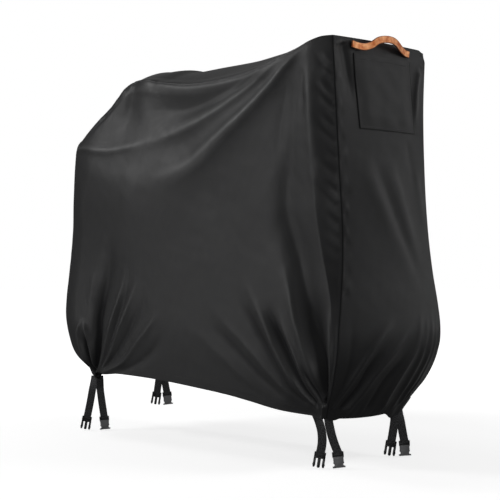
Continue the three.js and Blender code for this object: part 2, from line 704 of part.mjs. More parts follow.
// Straps hang from the lowest point of each gathered hem corner
for (const corner of strapCorners) {
  const hemSpot = hemSpotOf(corner);
  const strapGroup = new THREE.Group();
  strapGroup.position.set(hemSpot.point.x, hemSpot.point.y, 0);
  strapGroup.rotation.z = facingAngle;
  const sideGrid = corner.side < 0 ? panels.near : panels.far;
  const endGrid = corner.end > 0 ? panels.front : panels.back;
  const hems = [sideGrid, endGrid].map((grid) => grid.map((line) => line[0]));
  const hemHeight = Math.min(...hems.map((hem) => lowestOver(hem, hemSpot.point))) - seatGap;
  for (const tail of tails.filter((row) => row.corner === corner.name)) {
    const lean = THREE.MathUtils.degToRad(tail.lean);
    const behind = tail.layer * tailSpacing;
    const holder = new THREE.Group();
    holder.position.set(tail.across, behind, tail.foot);
    holder.rotation.y = -lean;
    const inHolder = (height) => {
      const point = new THREE.Vector3(0, 0, height).applyEuler(holder.rotation);
      return point.add(holder.position);
    };
    const mouth = inHolder(buckleLength);
    const end = inHolder(buckleLength - tailInSlot);
    const start = new THREE.Vector3(0, behind, hemHeight);
    const buckle = tail.half === 'prongs' ? prongsGeometry() : socketGeometry();
    const webbing = tailGeometry(start, mouth, end, lean);
    strapGroup.add(piece(`${corner.name}_tail_${tail.half}`, webbing, 'webbing'));
    holder.add(piece(`${corner.name}_buckle_${tail.half}`, buckle, tail.half));
    strapGroup.add(holder);
  }
  cover.add(strapGroup);
}

// The origin lies under the middle of the top, where the cover rests on what it hides
const crownSpot = panels.top[lengthSteps / 2][widthSteps / 2];
cover.position.copy(crownSpot.point).addScaledVector(crownSpot.normal, -clothThickness).negate();

const part = new THREE.Group();
part.add(cover);

export default part;
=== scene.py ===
import math

import bmesh
import bpy
import numpy as np
from mathutils import Matrix, Vector


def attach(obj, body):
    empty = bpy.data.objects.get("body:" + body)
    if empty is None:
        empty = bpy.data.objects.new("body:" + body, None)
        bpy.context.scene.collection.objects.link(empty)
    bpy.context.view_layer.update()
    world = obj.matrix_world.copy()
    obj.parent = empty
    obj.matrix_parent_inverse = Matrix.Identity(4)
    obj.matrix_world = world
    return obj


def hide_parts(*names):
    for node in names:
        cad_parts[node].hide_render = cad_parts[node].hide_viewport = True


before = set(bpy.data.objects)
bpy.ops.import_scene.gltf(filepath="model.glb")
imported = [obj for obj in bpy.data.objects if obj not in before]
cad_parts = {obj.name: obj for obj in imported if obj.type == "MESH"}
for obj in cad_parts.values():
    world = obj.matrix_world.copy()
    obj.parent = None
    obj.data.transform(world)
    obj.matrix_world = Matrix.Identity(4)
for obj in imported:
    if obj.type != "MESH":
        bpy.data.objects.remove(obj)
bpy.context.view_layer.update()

mm = 0.001
scene = bpy.context.scene
rng = np.random.default_rng(11)
print("frame loaded")


# small helpers
def lerp(a, b, t):
    return a + (b - a) * t


def ease(t):
    t = np.clip(t, 0, 1)
    return t * t * (3 - 2 * t)


def sizeOf(vectors):
    return np.linalg.norm(vectors, axis=-1)


def unit(vectors):
    return vectors / np.maximum(sizeOf(vectors), 1e-9)[..., None]


# way covered along a line of places, at each of them
def runAlong(line):
    return np.concatenate([[0], np.cumsum(sizeOf(np.diff(line, axis=0)))])


def toLinear(hexColour):
    parts = [int(hexColour[i:i + 2], 16) / 255 for i in (1, 3, 5)]
    return [c / 12.92 if c <= 0.04045 else ((c + 0.055) / 1.055) ** 2.4 for c in parts] + [1]


# adds a node with its settings and links; a link from a whole node takes that node's first output
def addNode(tree, kind, settings=None, links=None):
    node = tree.nodes.new("ShaderNode" + kind)
    for name, value in (settings or {}).items():
        if isinstance(name, str) and name not in node.inputs:
            setattr(node, name, value)
        else:
            node.inputs[name].default_value = value
    for name, source in (links or {}).items():
        tree.links.new(getattr(source, "outputs", [source])[0], node.inputs[name])
    return node


# smooth reading of a table: first column is the place, the others are values
def readTable(rows, column, at):
    table = np.array(rows, float)
    keys, values = table[:, 0], table[:, column]
    last = len(keys) - 1
    before = np.maximum(np.arange(last + 1) - 1, 0)
    after = np.minimum(np.arange(last + 1) + 1, last)
    slopes = (values[after] - values[before]) / (keys[after] - keys[before])
    place = np.clip(at, keys[0], keys[-1])
    i = np.clip(np.searchsorted(keys, place, side="right") - 1, 0, last - 1)
    span = keys[i + 1] - keys[i]
    t = (place - keys[i]) / span
    leaving = slopes[i] * span * (t ** 3 - 2 * t ** 2 + t)
    arriving = slopes[i + 1] * span * (t ** 3 - t ** 2)
    return lerp(values[i], values[i + 1], 3 * t ** 2 - 2 * t ** 3) + leaving + arriving


# cut of the cover, in mm, heights from the lowest points of the buckles
cover = {
    "origin": (21.067, 0.0, 1177.374),
    "thickness": 1.2, "sharpAngle": 62,
    "alongSteps": 250, "upSteps": 180, "acrossSteps": 96, "topSteps": 64,
    "alongCrowding": 0.35, "upCrowding": 0.45, "acrossCrowding": 0.4,
    # x, height, crown of the top above it
    "shoulder": [(-556, 946, 6), (-430, 1026, 6), (-375, 1063, 24), (-335, 1096, 50), (-300, 1124, 68),
                 (-240, 1143, 46), (-170, 1133, 58), (-105, 1122, 57), (40, 1106, 75), (160, 1110, 76),
                 (250, 1118, 74), (420, 1147, 60), (500, 1171, 30), (560, 1186, 7), (598, 1187, 3)],
    "crownPower": 1.1, "shoulderInset": 13, "shoulderReach": 38, "insetFade": (420, 530),
    # x, height
    "hem": [(-556, 190), (-400, 204), (-200, 203), (0, 193), (200, 178), (310, 165), (400, 153), (520, 143),
            (598, 141)],
    "endHemDip": 12, "endEdgePower": 4,
    # height, x, half width near, half width far
    "frontSeam": [(140, 551, 162, 162), (200, 588, 192, 194), (255, 613, 210, 218), (310, 632, 220, 226),
                  (375, 640, 222, 228), (440, 634, 208, 226), (545, 619, 182, 218), (660, 608, 169, 211),
                  (800, 603, 175, 203), (1000, 600, 187, 199), (1190, 598, 198, 210)],
    "backSeam": [(160, -516, 136, 136), (225, -560, 182, 182), (280, -584, 198, 198), (360, -602, 207, 207),
                 (425, -605, 206, 206), (520, -596, 200, 200), (640, -582, 196, 195), (775, -573, 198, 198),
                 (946, -556, 204, 208)],
    # height, half width at mid length, towards the back, near front, far front
    "sideWidth": [(150, 196, 196, 190, 198), (230, 208, 226, 210, 234), (300, 216, 244, 224, 252),
                  (375, 220, 250, 230, 256), (450, 218, 241, 226, 256), (560, 212, 222, 216, 252),
                  (700, 207, 211, 210, 244), (900, 205, 206, 208, 224), (1190, 207, 214, 220, 216)],
    "endShapePower": 3, "frontRoundingPower": 1.22,
    # height, length over which the side turns towards the seam
    "frontRounding": [(140, 20), (440, 20), (490, 25), (547, 36), (600, 48), (655, 58), (770, 70), (880, 80),
                      (1190, 84)],
    "backRounding": [(140, 90), (600, 104), (770, 96), (860, 54), (946, 26)], "backRoundingPower": 1.5,
    # height, belly of the end panels
    "endBelly": [(140, 10), (300, 18), (420, 20), (600, 15), (750, 12), (900, 7), (1000, 4), (1190, 0)],
    "bellyShare": 0.1,  # share of the top's length over which it takes on the belly
    "hemStitch": 22,  # up from the hem's edge
}
# mm, inset from the sewn edge; unsewn is far enough from any edge to show no stitches
stitching = {"inset": 7.0, "width": 1.8, "pitch": 4.4, "gap": 1.4, "unsewn": 99.0}

# corners where straps draw the hem in: end, side, gathering point, drop and size of the neck, reach of the pull
corners = {
    "near_front": {"end": 1, "side": -1, "x": 527, "y": -150, "drop": 6, "neck": 46, "reach": 175},
    "far_front": {"end": 1, "side": 1, "x": 534, "y": 136, "drop": 18, "neck": 80, "reach": 142},
    "near_back": {"end": -1, "side": -1, "x": -502, "y": -126, "drop": 18, "neck": 26, "reach": 160},
    "far_back": {"end": -1, "side": 1, "x": -504, "y": 128, "drop": 18, "neck": 26, "reach": 160},
}
gather = {"strength": 0.66, "neckHeight": 80, "neckCore": 0.5}

backCornerX = cover["shoulder"][0][0]
frontCornerX = cover["shoulder"][-1][0]


def cutAt(name, column, at):
    return readTable(cover[name], column, at)


def layStations(steps, crowding):
    place = np.linspace(0, 1, steps + 1)
    return place - crowding * np.sin(2 * math.pi * place) / (2 * math.pi)


us = layStations(cover["alongSteps"], cover["alongCrowding"])
vs = layStations(cover["upSteps"], cover["upCrowding"])
ws = 2 * layStations(cover["acrossSteps"], cover["acrossCrowding"]) - 1
topWs = 2 * layStations(cover["topSteps"], cover["acrossCrowding"]) - 1


def hemHeight(end):
    return float(cutAt("hem", 1, frontCornerX if end > 0 else backCornerX))


# side panel: u from back seam to front seam, v from hem to shoulder
def sideForm(side):
    u, v = np.meshgrid(us, vs, indexing="ij")
    hand = 2 if side < 0 else 3

    def heightAt(x):
        return lerp(cutAt("hem", 1, x), cutAt("shoulder", 1, x), v)

    cornerX = lerp(backCornerX, frontCornerX, u)
    z = heightAt(cornerX)
    backZ, frontZ = heightAt(backCornerX), heightAt(frontCornerX)
    backX, frontX = cutAt("backSeam", 1, backZ), cutAt("frontSeam", 1, frontZ)
    x = lerp(backX, frontX, u)
    endShare = np.abs(2 * u - 1) ** cover["endShapePower"]
    ends = np.where(u < 0.5, cutAt("sideWidth", 2, z), cutAt("sideWidth", hand + 1, z))
    half = lerp(cutAt("sideWidth", 1, z), ends, endShare)
    frontTurn, backTurn = cutAt("frontRounding", 1, z), cutAt("backRounding", 1, z)
    frontShare = np.clip(1 - (frontX - x) / frontTurn, 0, 1) ** cover["frontRoundingPower"]
    backShare = np.clip(1 - (x - backX) / backTurn, 0, 1) ** cover["backRoundingPower"]
    half = lerp(half, cutAt("frontSeam", hand, frontZ), frontShare)
    half = lerp(half, cutAt("backSeam", hand, backZ), backShare)
    below = cutAt("shoulder", 1, cornerX) - z
    fadeStart, fadeEnd = cover["insetFade"]
    inset = cover["shoulderInset"] * (1 - ease((cornerX - fadeStart) / (fadeEnd - fadeStart)))
    half = half - inset * np.clip(1 - below / cover["shoulderReach"], 0, 1) ** 2
    return np.stack([x, side * half, z], -1)


# end panel between the seam edges of the side panels
def endForm(end, nearEdge, farEdge):
    w, v = np.meshgrid(ws, vs, indexing="ij")
    points = lerp(nearEdge[None], farEdge[None], ((w + 1) / 2)[..., None])
    arch = 1 - w ** 2
    crown = cutAt("shoulder", 2, frontCornerX if end > 0 else backCornerX)
    points[..., 0] += end * arch * cutAt("endBelly", 1, points[..., 2])
    points[..., 2] += crown * arch ** cover["crownPower"] * v ** cover["endEdgePower"]
    points[..., 2] -= cover["endHemDip"] * arch * (1 - v) ** cover["endEdgePower"]
    return points


# top panel between the shoulders
def topForm(nearEdge, farEdge):
    w = np.broadcast_to(topWs, (len(us), len(topWs)))
    u = us[:, None]
    points = lerp(nearEdge[:, None], farEdge[:, None], ((w + 1) / 2)[..., None])
    arch = 1 - w ** 2
    crown = cutAt("shoulder", 2, lerp(backCornerX, frontCornerX, us))[:, None]
    belly = cutAt("endBelly", 1, points[..., 2])
    ends = cover["bellyShare"]
    points[..., 0] += arch * belly * (ease((u - 1 + ends) / ends) - ease((ends - u) / ends))
    points[..., 2] += crown * arch ** cover["crownPower"]
    return points


# straps gather the lower corners
def drawIn(points):
    for corner in corners.values():
        inward = np.array([corner["x"], corner["y"]]) - points[..., :2]
        up = np.maximum(points[..., 2] - hemHeight(corner["end"]), 0)
        away = np.minimum(np.hypot(np.hypot(inward[..., 0], inward[..., 1]), up) / corner["reach"], 1)
        points[..., :2] += inward * (gather["strength"] * (1 - away ** 2) ** 4)[..., None]


# and pull a short neck of cloth down at the knot
def drawDown(points, corner, knot):
    left = np.hypot(points[..., 0] - knot[0], points[..., 1] - knot[1])
    up = np.maximum(points[..., 2] - hemHeight(corner["end"]), 0)
    core = 1 - ease((left / corner["neck"] - gather["neckCore"]) / (1 - gather["neckCore"]))
    points[..., 2] -= corner["drop"] * core * (1 - ease(up / gather["neckHeight"]))


def outward(points, turn):
    return unit(np.cross(np.gradient(points, axis=0), np.gradient(points, axis=1)) * turn)


# a fold is a line of places with its height, its widths left and right of the line at both ends, the
# roundness of its crest and the shares of its length over which its two ends fade
def foldField(folds, a, b):
    total = np.zeros_like(a)
    for line, height, left, right, crest, fades in folds:
        line = np.array(line, float)
        reach = runAlong(line)
        rows = np.column_stack([reach / reach[-1], line])
        shares = np.linspace(0, 1, 8 * (len(line) - 1) + 1)
        path = np.column_stack([readTable(rows, 1, shares), readTable(rows, 2, shares)])
        margin = (4 + 2 * crest) * max(left + right)
        low, high = path.min(0) - margin, path.max(0) + margin
        near = (a > low[0]) & (a < high[0]) & (b > low[1]) & (b < high[1])
        pa, pb = a[near], b[near]
        nearest, share, hand = np.full(pa.shape, 1e12), np.zeros(pa.shape), np.zeros(pa.shape)
        for k in range(len(shares) - 1):
            step = path[k + 1] - path[k]
            t = np.clip(((pa - path[k, 0]) * step[0] + (pb - path[k, 1]) * step[1]) / (step @ step), 0, 1)
            da, db = pa - path[k, 0] - t * step[0], pb - path[k, 1] - t * step[1]
            gap = da * da + db * db
            closer = gap < nearest
            nearest = np.where(closer, gap, nearest)
            share = np.where(closer, lerp(shares[k], shares[k + 1], t), share)
            hand = np.where(closer, (step[0] * db - step[1] * da) / sizeOf(step), hand)
        leftWidth, rightWidth = lerp(left[0], left[1], share), lerp(right[0], right[1], share)
        narrow = np.minimum(leftWidth, rightWidth)
        width = lerp(rightWidth, leftWidth, ease(0.5 + hand / narrow))
        fade = ease(share / max(fades[0], 1e-6)) * ease((1 - share) / max(fades[1], 1e-6))
        grown = narrow / min(max(left), max(right))
        profile = np.exp(crest - np.sqrt(crest ** 2 + nearest / width ** 2))
        total[near] += height * fade * grown * profile
    return total


# slow unevenness of hanging cloth
def ripple(a, b, seed, height, longest, shortest, waves=18):
    dice = np.random.default_rng(seed)
    total = np.zeros_like(a)
    for _ in range(waves):
        wave = 2 * math.pi / dice.uniform(shortest, longest)
        turn = dice.uniform(0, 2 * math.pi)
        total += np.cos(wave * (a * math.cos(turn) + b * math.sin(turn)) + dice.uniform(0, 2 * math.pi))
    return 3 * total * height / waves


# folds of the near side: x and height
nearFolds = [
    # swelling below the back peak, where the cloth leans outwards as it comes down
    ([(-618, 934), (-545, 906), (-455, 877), (-365, 842), (-245, 812), (-130, 808), (-30, 830), (70, 880)],
     44, (84, 120), (180, 150), 1.0, (0.29, 0.46)),
    # shoulder ridge and the hollow under it
    ([(-240, 1145), (-115, 1120), (10, 1101), (145, 1097), (275, 1106), (380, 1128), (475, 1158), (512, 1174)],
     11, (18, 12), (16, 10), 0.5, (0.1, 0.14)),
    ([(-205, 1066), (-110, 1042), (-7, 1030), (115, 1046), (258, 1088), (365, 1122)],
     -15, (28, 9), (36, 9), 0.9, (0.45, 0.2)),
    # long ridge from the high corner to the back corner: gentle above, steep below
    ([(-300, 932), (-168, 943), (-20, 971), (112, 1009), (220, 1048), (308, 1084), (381, 1119), (460, 1151),
      (505, 1172)], 16, (50, 16), (27, 10), 0.6, (0.5, 0.14)),
    ([(-554, 947), (-505, 945), (-465, 941), (-390, 931), (-333, 928), (-250, 932), (-168, 943), (-95, 954)],
     7, (14, 20), (12, 16), 0.3, (0.08, 0.5)),
    ([(70, 1030), (185, 1062), (275, 1096), (365, 1132)], 4, (16, 8), (10, 4), 0.4, (0.4, 0.2)),
    # second ridge, which runs into the swelling
    ([(-190, 806), (-60, 832), (48, 868), (137, 919), (223, 971), (286, 1010), (355, 1056), (434, 1114),
      (475, 1146), (512, 1170)], 30, (58, 13), (62, 13), 0.45, (0.4, 0.18)),
    ([(48, 870), (137, 921), (223, 973), (286, 1012), (355, 1058), (434, 1116), (478, 1148), (515, 1172)],
     4, (22, 10), (16, 8), 0.6, (0.4, 0.14)),
    # soft crease below the back peak
    ([(-290, 945), (-275, 1000), (-261, 1056), (-247, 1110), (-242, 1142)], -15, (32, 8), (66, 16), 1.0, (0.6, 0.02)),
    # crease beside the back slope
    ([(-520, 948), (-445, 994), (-375, 1042), (-320, 1082), (-280, 1108)], -4, (7, 7), (9, 9), 0.4, (0.05, 0.25)),
    # edge where the panel turns round the front corner
    ([(612, 500), (590, 620), (566, 740), (535, 880), (520, 1030), (515, 1125)],
     5, (24, 18), (26, 18), 0.7, (0.25, 0.15)),
    # streaks that fan down from the high corner
    ([(466, 1112), (463, 1034), (457, 951), (445, 868), (428, 785), (414, 715)],
     -5, (14, 28), (14, 28), 1.0, (0.2, 0.3)),
    ([(440, 1090), (420, 1010), (398, 920), (380, 850)], -3, (8, 16), (8, 16), 0.9, (0.2, 0.5)),
    ([(492, 1120), (494, 1040), (490, 950)], -3, (7, 12), (7, 12), 0.9, (0.2, 0.5)),
    # soft trough that runs down into the gathers of the near front corner and deepens
    ([(452, 930), (440, 840), (428, 770), (428, 700), (448, 640), (472, 584), (494, 525), (523, 457), (545, 398),
      (561, 341), (567, 284), (562, 222), (553, 166)], -32, (62, 24), (32, 14), 0.9, (0.5, 0.06)),
    ([(534, 428), (549, 390), (563, 341), (569, 284), (563, 222), (553, 166)], -24, (15, 8), (12, 7), 0.8, (0.6, 0.06)),
    # gathers at the near front corner, from their far ends to the strap
    ([(405, 600), (427, 546), (450, 493), (470, 435), (492, 382), (512, 328), (532, 275), (544, 217), (550, 165)],
     9, (11, 6), (20, 8), 0.5, (0.45, 0.06)),
    ([(497, 290), (515, 243), (531, 206), (543, 168)], -9, (6, 4), (6, 4), 0.8, (0.4, 0.06)),
    ([(405, 455), (429, 402), (457, 351), (481, 306), (503, 252), (518, 210), (538, 165)],
     8, (9, 5), (14, 6), 0.5, (0.45, 0.06)),
    ([(345, 475), (397, 390), (429, 341), (453, 296), (476, 249), (496, 208), (530, 165)],
     -17, (14, 6), (12, 6), 0.8, (0.45, 0.06)),
    ([(255, 530), (330, 440), (372, 379), (403, 320), (430, 278), (461, 236), (485, 200), (522, 166)],
     10, (11, 5), (20, 7), 0.5, (0.5, 0.06)),
    ([(195, 505), (285, 425), (345, 355), (395, 285), (426, 238), (450, 208), (505, 170)],
     -11, (16, 5), (16, 5), 0.9, (0.55, 0.06)),
    ([(602, 480), (607, 411), (612, 346), (606, 284), (588, 221), (563, 168)], 13, (9, 5), (24, 10), 0.6, (0.5, 0.06)),
    ([(80, 470), (195, 390), (260, 345), (315, 303), (370, 255), (470, 172)], 7, (18, 6), (16, 5), 0.6, (0.6, 0.1)),
    ([(40, 440), (155, 368), (220, 326), (280, 285), (330, 245), (430, 178)], -6, (18, 6), (18, 6), 0.9, (0.6, 0.1)),
    ([(0, 390), (90, 345), (180, 290), (270, 230), (340, 190)], 4, (18, 8), (18, 8), 0.8, (0.6, 0.3)),
    # gathers at the near back corner: a deep trough, a pair of ridges that part like an A and a fan of finer ones
    ([(-318, 690), (-338, 603), (-362, 508), (-394, 410), (-410, 311), (-442, 230), (-497, 180)],
     -30, (30, 11), (22, 9), 0.9, (0.6, 0.04)),
    ([(-394, 410), (-410, 311), (-442, 230), (-497, 180)], -16, (9, 5), (8, 5), 0.8, (0.6, 0.04)),
    ([(-474, 388), (-497, 325), (-490, 270), (-492, 220), (-506, 178)], 10, (8, 4), (8, 4), 0.5, (0.25, 0.02)),
    ([(-474, 388), (-452, 320), (-446, 265), (-462, 215), (-501, 178)], 12, (8, 4), (8, 4), 0.5, (0.25, 0.02)),
    ([(-471, 350), (-470, 290), (-474, 235), (-503, 178)], -26, (8, 4), (8, 4), 0.9, (0.4, 0.04)),
    ([(-418, 560), (-432, 470), (-440, 400)], 3, (10, 8), (10, 8), 0.8, (0.4, 0.4)),
    ([(-245, 570), (-268, 512), (-309, 414), (-358, 311), (-412, 225), (-490, 182)],
     12, (9, 5), (9, 5), 0.5, (0.5, 0.02)),
    ([(-225, 560), (-262, 460), (-305, 365), (-350, 285), (-420, 212), (-484, 184)],
     -10, (10, 5), (10, 5), 0.8, (0.5, 0.02)),
    ([(-185, 545), (-209, 495), (-253, 416), (-318, 313), (-392, 226), (-478, 186)],
     13, (10, 5), (11, 5), 0.5, (0.5, 0.02)),
    ([(-150, 500), (-215, 395), (-282, 312), (-360, 240), (-455, 192)], -11, (13, 6), (13, 6), 0.8, (0.5, 0.03)),
    ([(-80, 440), (-111, 401), (-197, 321), (-288, 246), (-420, 198)], 12, (12, 5), (12, 5), 0.5, (0.5, 0.04)),
    ([(-50, 380), (-130, 305), (-225, 245), (-330, 208)], -8, (14, 6), (14, 6), 0.9, (0.5, 0.12)),
]

# the far side hangs plainer: the same kinds of folds, lower and moved a little
farDrape = {"share": 0.85, "sideways": 22, "up": 9, "fixedBelow": 240, "firstTurned": 17, "turnedEach": 7}
farFolds = []
for k, (line, height, left, right, crest, fades) in enumerate(nearFolds):
    moved = [(x + farDrape["sideways"] * math.sin(2.3 * k),
              z + farDrape["up"] * math.cos(1.7 * k) * (z > farDrape["fixedBelow"])) for x, z in line]
    inwards = k >= farDrape["firstTurned"] and k % farDrape["turnedEach"] == 6
    farFolds.append((moved, (-1 if inwards else 1) * farDrape["share"] * height, left, right, crest, fades))

# short puckers where the seams pull, in turn out and in: how many, first place, step and scatter along the seam,
# shortest and longest, lowest and highest
puckers = {
    "side": {"count": 30, "first": 470, "step": 22, "scatter": 7, "length": (34, 74), "height": (1.7, 3.8),
             "flatBelow": 480, "fullAbove": 740},
    "slope": {"count": 16, "first": -545, "step": 19, "scatter": 4, "length": (14, 30), "height": (0.8, 1.8)},
    "hem": {"count": 9, "first": -95, "step": 21, "scatter": 5, "length": (180, 206), "height": (1.5, 3)},
    "front": {"count": 18, "first": 470, "step": 36, "scatter": 9, "length": (18, 40), "height": (0.9, 2.0)},
}


def scatterPuckers(row):
    for k in range(row["count"]):
        place = row["first"] + row["step"] * k + rng.uniform(-row["scatter"], row["scatter"])
        yield place, rng.uniform(*row["length"]), 1 if k % 2 else -1


# beside the front seams, leaning up and away from them, less towards the bulge
for z, length, turn in scatterPuckers(puckers["side"]):
    x = float(cutAt("frontSeam", 1, z)) - 3
    pucker = [(x, z), (x - 0.5 * length, z + 0.5 * length), (x - 0.9 * length, z + rng.uniform(0.9, 1.3) * length)]
    height = rng.uniform(*puckers["side"]["height"]) * turn
    height *= ease((z - puckers["side"]["flatBelow"]) / (puckers["side"]["fullAbove"] - puckers["side"]["flatBelow"]))
    nearFolds.append((pucker, height, (5, 8), (5, 8), 0.7, (0.08, 0.6)))
    farFolds.append((pucker, 0.7 * height, (5, 7), (5, 7), 0.7, (0.08, 0.5)))
# below the seam of the back slope
for x, length, turn in scatterPuckers(puckers["slope"]):
    z = float(cutAt("shoulder", 1, x)) - 2
    height = rng.uniform(*puckers["slope"]["height"]) * turn
    nearFolds.append(([(x, z), (x + 0.3 * length, z - length)], height, (4, 5), (4, 5), 0.6, (0.05, 0.5)))

# folds of the front panel: place across and height
frontFolds = [
    ([(-90, 890), (-29, 771), (32, 660), (95, 546), (140, 460)], 5.5, (20, 24), (24, 28), 1.0, (0.3, 0.4)),
    ([(-50, 880), (8, 771), (64, 660), (118, 560), (150, 480)], -4, (14, 18), (14, 18), 0.9, (0.25, 0.4)),
    ([(20, 880), (64, 775), (95, 690), (128, 603), (160, 545)], 5.5, (16, 19), (22, 26), 1.0, (0.3, 0.4)),
    ([(110, 930), (130, 850), (150, 750)], -2, (10, 14), (10, 14), 0.8, (0.2, 0.5)),
    ([(150, 860), (172, 750), (190, 640)], 3, (12, 16), (12, 16), 0.8, (0.3, 0.5)),
    ([(-156, 1174), (-142, 1125), (-128, 1060), (-122, 1000)], -8, (10, 9), (16, 14), 0.9, (0.05, 0.5)),
    ([(188, 1152), (169, 1100), (159, 1055), (156, 1015), (160, 950)], 8, (15, 13), (7, 7), 0.6, (0.2, 0.45)),
    # gathers from the near corner: wide towards the far side, steep towards the near one
    ([(10, 430), (-65, 366), (-107, 329), (-139, 275), (-154, 221), (-152, 155)],
     14, (26, 12), (12, 6), 0.4, (0.45, 0.06)),
    ([(90, 410), (25, 353), (-26, 305), (-67, 253), (-94, 186), (-108, 146)], 11, (24, 12), (9, 6), 0.4, (0.45, 0.06)),
    ([(-55, 340), (-89, 289), (-105, 227), (-122, 155)], -8, (10, 7), (10, 7), 0.8, (0.5, 0.06)),
    ([(-175, 450), (-172, 330), (-166, 250), (-158, 165)], -4, (12, 4), (12, 4), 0.9, (0.6, 0.05)),
    # gathers that follow the belly down to the hem and the far corner
    ([(60, 320), (10, 262), (-15, 225), (-33, 145)], -6, (13, 8), (10, 8), 0.8, (0.5, 0.1)),
    ([(125, 440), (104, 361), (92, 329), (56, 263), (33, 204), (26, 138)], 11, (20, 12), (9, 6), 0.4, (0.45, 0.08)),
    ([(155, 430), (136, 345), (120, 285), (98, 215), (88, 140)], 9, (16, 9), (8, 5), 0.4, (0.45, 0.08)),
    ([(182, 440), (166, 337), (154, 281), (134, 212), (122, 145)], 10, (15, 9), (8, 5), 0.4, (0.45, 0.08)),
    ([(205, 420), (188, 315), (172, 250), (146, 160)], 6, (10, 5), (7, 4), 0.4, (0.45, 0.08)),
]
for y, tip, _ in scatterPuckers(puckers["hem"]):  # small gathers along the front hem, all outwards
    height = rng.uniform(*puckers["hem"]["height"])
    frontFolds.append(([(y, 136), (y + 4, 165), (y + 10, tip)], height, (5, 6), (5, 6), 0.6, (0.02, 0.6)))
for z, length, turn in scatterPuckers(puckers["front"]):  # beside the near seam
    y = -float(cutAt("frontSeam", 2, z)) + 3
    height = rng.uniform(*puckers["front"]["height"]) * turn
    frontFolds.append(([(y, z), (y + length, z + 0.5 * length)], height, (5, 7), (5, 7), 0.7, (0.08, 0.5)))

# folds of the back panel
backFolds = [
    ([(-90, 860), (-40, 720), (30, 560)], 5, (30, 34), (30, 34), 0.8, (0.3, 0.5)),
    ([(-30, 870), (10, 740), (70, 580)], -4, (26, 30), (26, 30), 0.9, (0.3, 0.5)),
    ([(95, 840), (70, 680), (72, 540)], 4, (26, 30), (26, 30), 0.8, (0.3, 0.5)),
    ([(20, 500), (-55, 395), (-95, 320), (-120, 250), (-134, 180)], 8, (15, 4), (15, 4), 0.5, (0.6, 0.02)),
    ([(50, 470), (-20, 360), (-65, 290), (-124, 190)], -7, (15, 5), (15, 5), 0.9, (0.6, 0.02)),
    ([(-150, 500), (-150, 380), (-145, 290), (-136, 180)], 6, (11, 4), (11, 4), 0.5, (0.6, 0.02)),
    ([(-30, 490), (60, 390), (98, 315), (122, 250), (134, 180)], 8, (15, 4), (15, 4), 0.5, (0.6, 0.02)),
    ([(-70, 450), (15, 350), (70, 285), (124, 190)], -7, (15, 5), (15, 5), 0.9, (0.6, 0.02)),
    ([(150, 500), (152, 380), (146, 290), (136, 180)], 6, (11, 4), (11, 4), 0.5, (0.6, 0.02)),
]

# the five panels, drawn in at the corners
near, far = sideForm(-1), sideForm(1)
front = endForm(1, near[-1], far[-1])
back = endForm(-1, near[0], far[0])
top = topForm(near[:, -1], far[:, -1])
grids = {"near": near, "far": far, "front": front, "back": back}
for grid in grids.values():
    drawIn(grid)
# the far top corner of the front is soft and rounded
softCorner = {"reach": 36.0, "shift": np.array([-2.5, -6.5, -6.0])}
cornerPoint = far[-1, -1].copy()
for grid in (far, front, top):
    gap = np.minimum(sizeOf(grid - cornerPoint) / softCorner["reach"], 1)
    grid += softCorner["shift"] * ((1 - gap ** 2) ** 2)[..., None]
knots = {name: (near if c["side"] < 0 else far)[-1 if c["end"] > 0 else 0, 0].copy() for name, c in corners.items()}
for name, corner in corners.items():
    for grid in grids.values():
        drawDown(grid, corner, knots[name])

turns = {"near": 1, "far": -1, "front": 1, "back": -1, "top": 1}
normals = {name: outward(grid, turns[name]) for name, grid in grids.items()}
seams = {"near": (("back", 0, 0), ("front", 0, -1)), "far": (("back", -1, 0), ("front", -1, -1)),
         "front": (("near", -1, 0), ("far", -1, -1)), "back": (("near", 0, 0), ("far", 0, -1))}
seamDip = {"depth": 0.9, "width": 2.4, "fade": 12.0, "backFade": 26.0}
unevenness = {"long": (420, 110), "short": (90, 35), "shortShare": 0.25}  # longest and shortest wave
# where painted sheen and painted shade go on the cloth: crests, with painted sheen, and creases against the cloth
# around, by cells averaged and mm of a full crest, and low hollows, with painted shade, by mm of a full one; low crests
# and all creases count by the least share
paintedFoldTone = {"cells": 6, "crest": 3, "hollow": 15, "low": 560, "hollowFade": 200, "crestFade": 240, "least": 0.3}
paintedFoldLight = {}


# moving average over a grid, by a number of cells each way
def smoothGrid(values, reach):
    for axis in (0, 1):
        padded = np.pad(values, [(reach, reach) if k == axis else (0, 0) for k in (0, 1)], "edge")
        total = np.moveaxis(np.cumsum(padded, axis), axis, 0)
        total = np.concatenate([np.zeros_like(total[:1]), total])
        values = np.moveaxis((total[2 * reach + 1:] - total[:-2 * reach - 1]) / (2 * reach + 1), 0, axis)
    return values


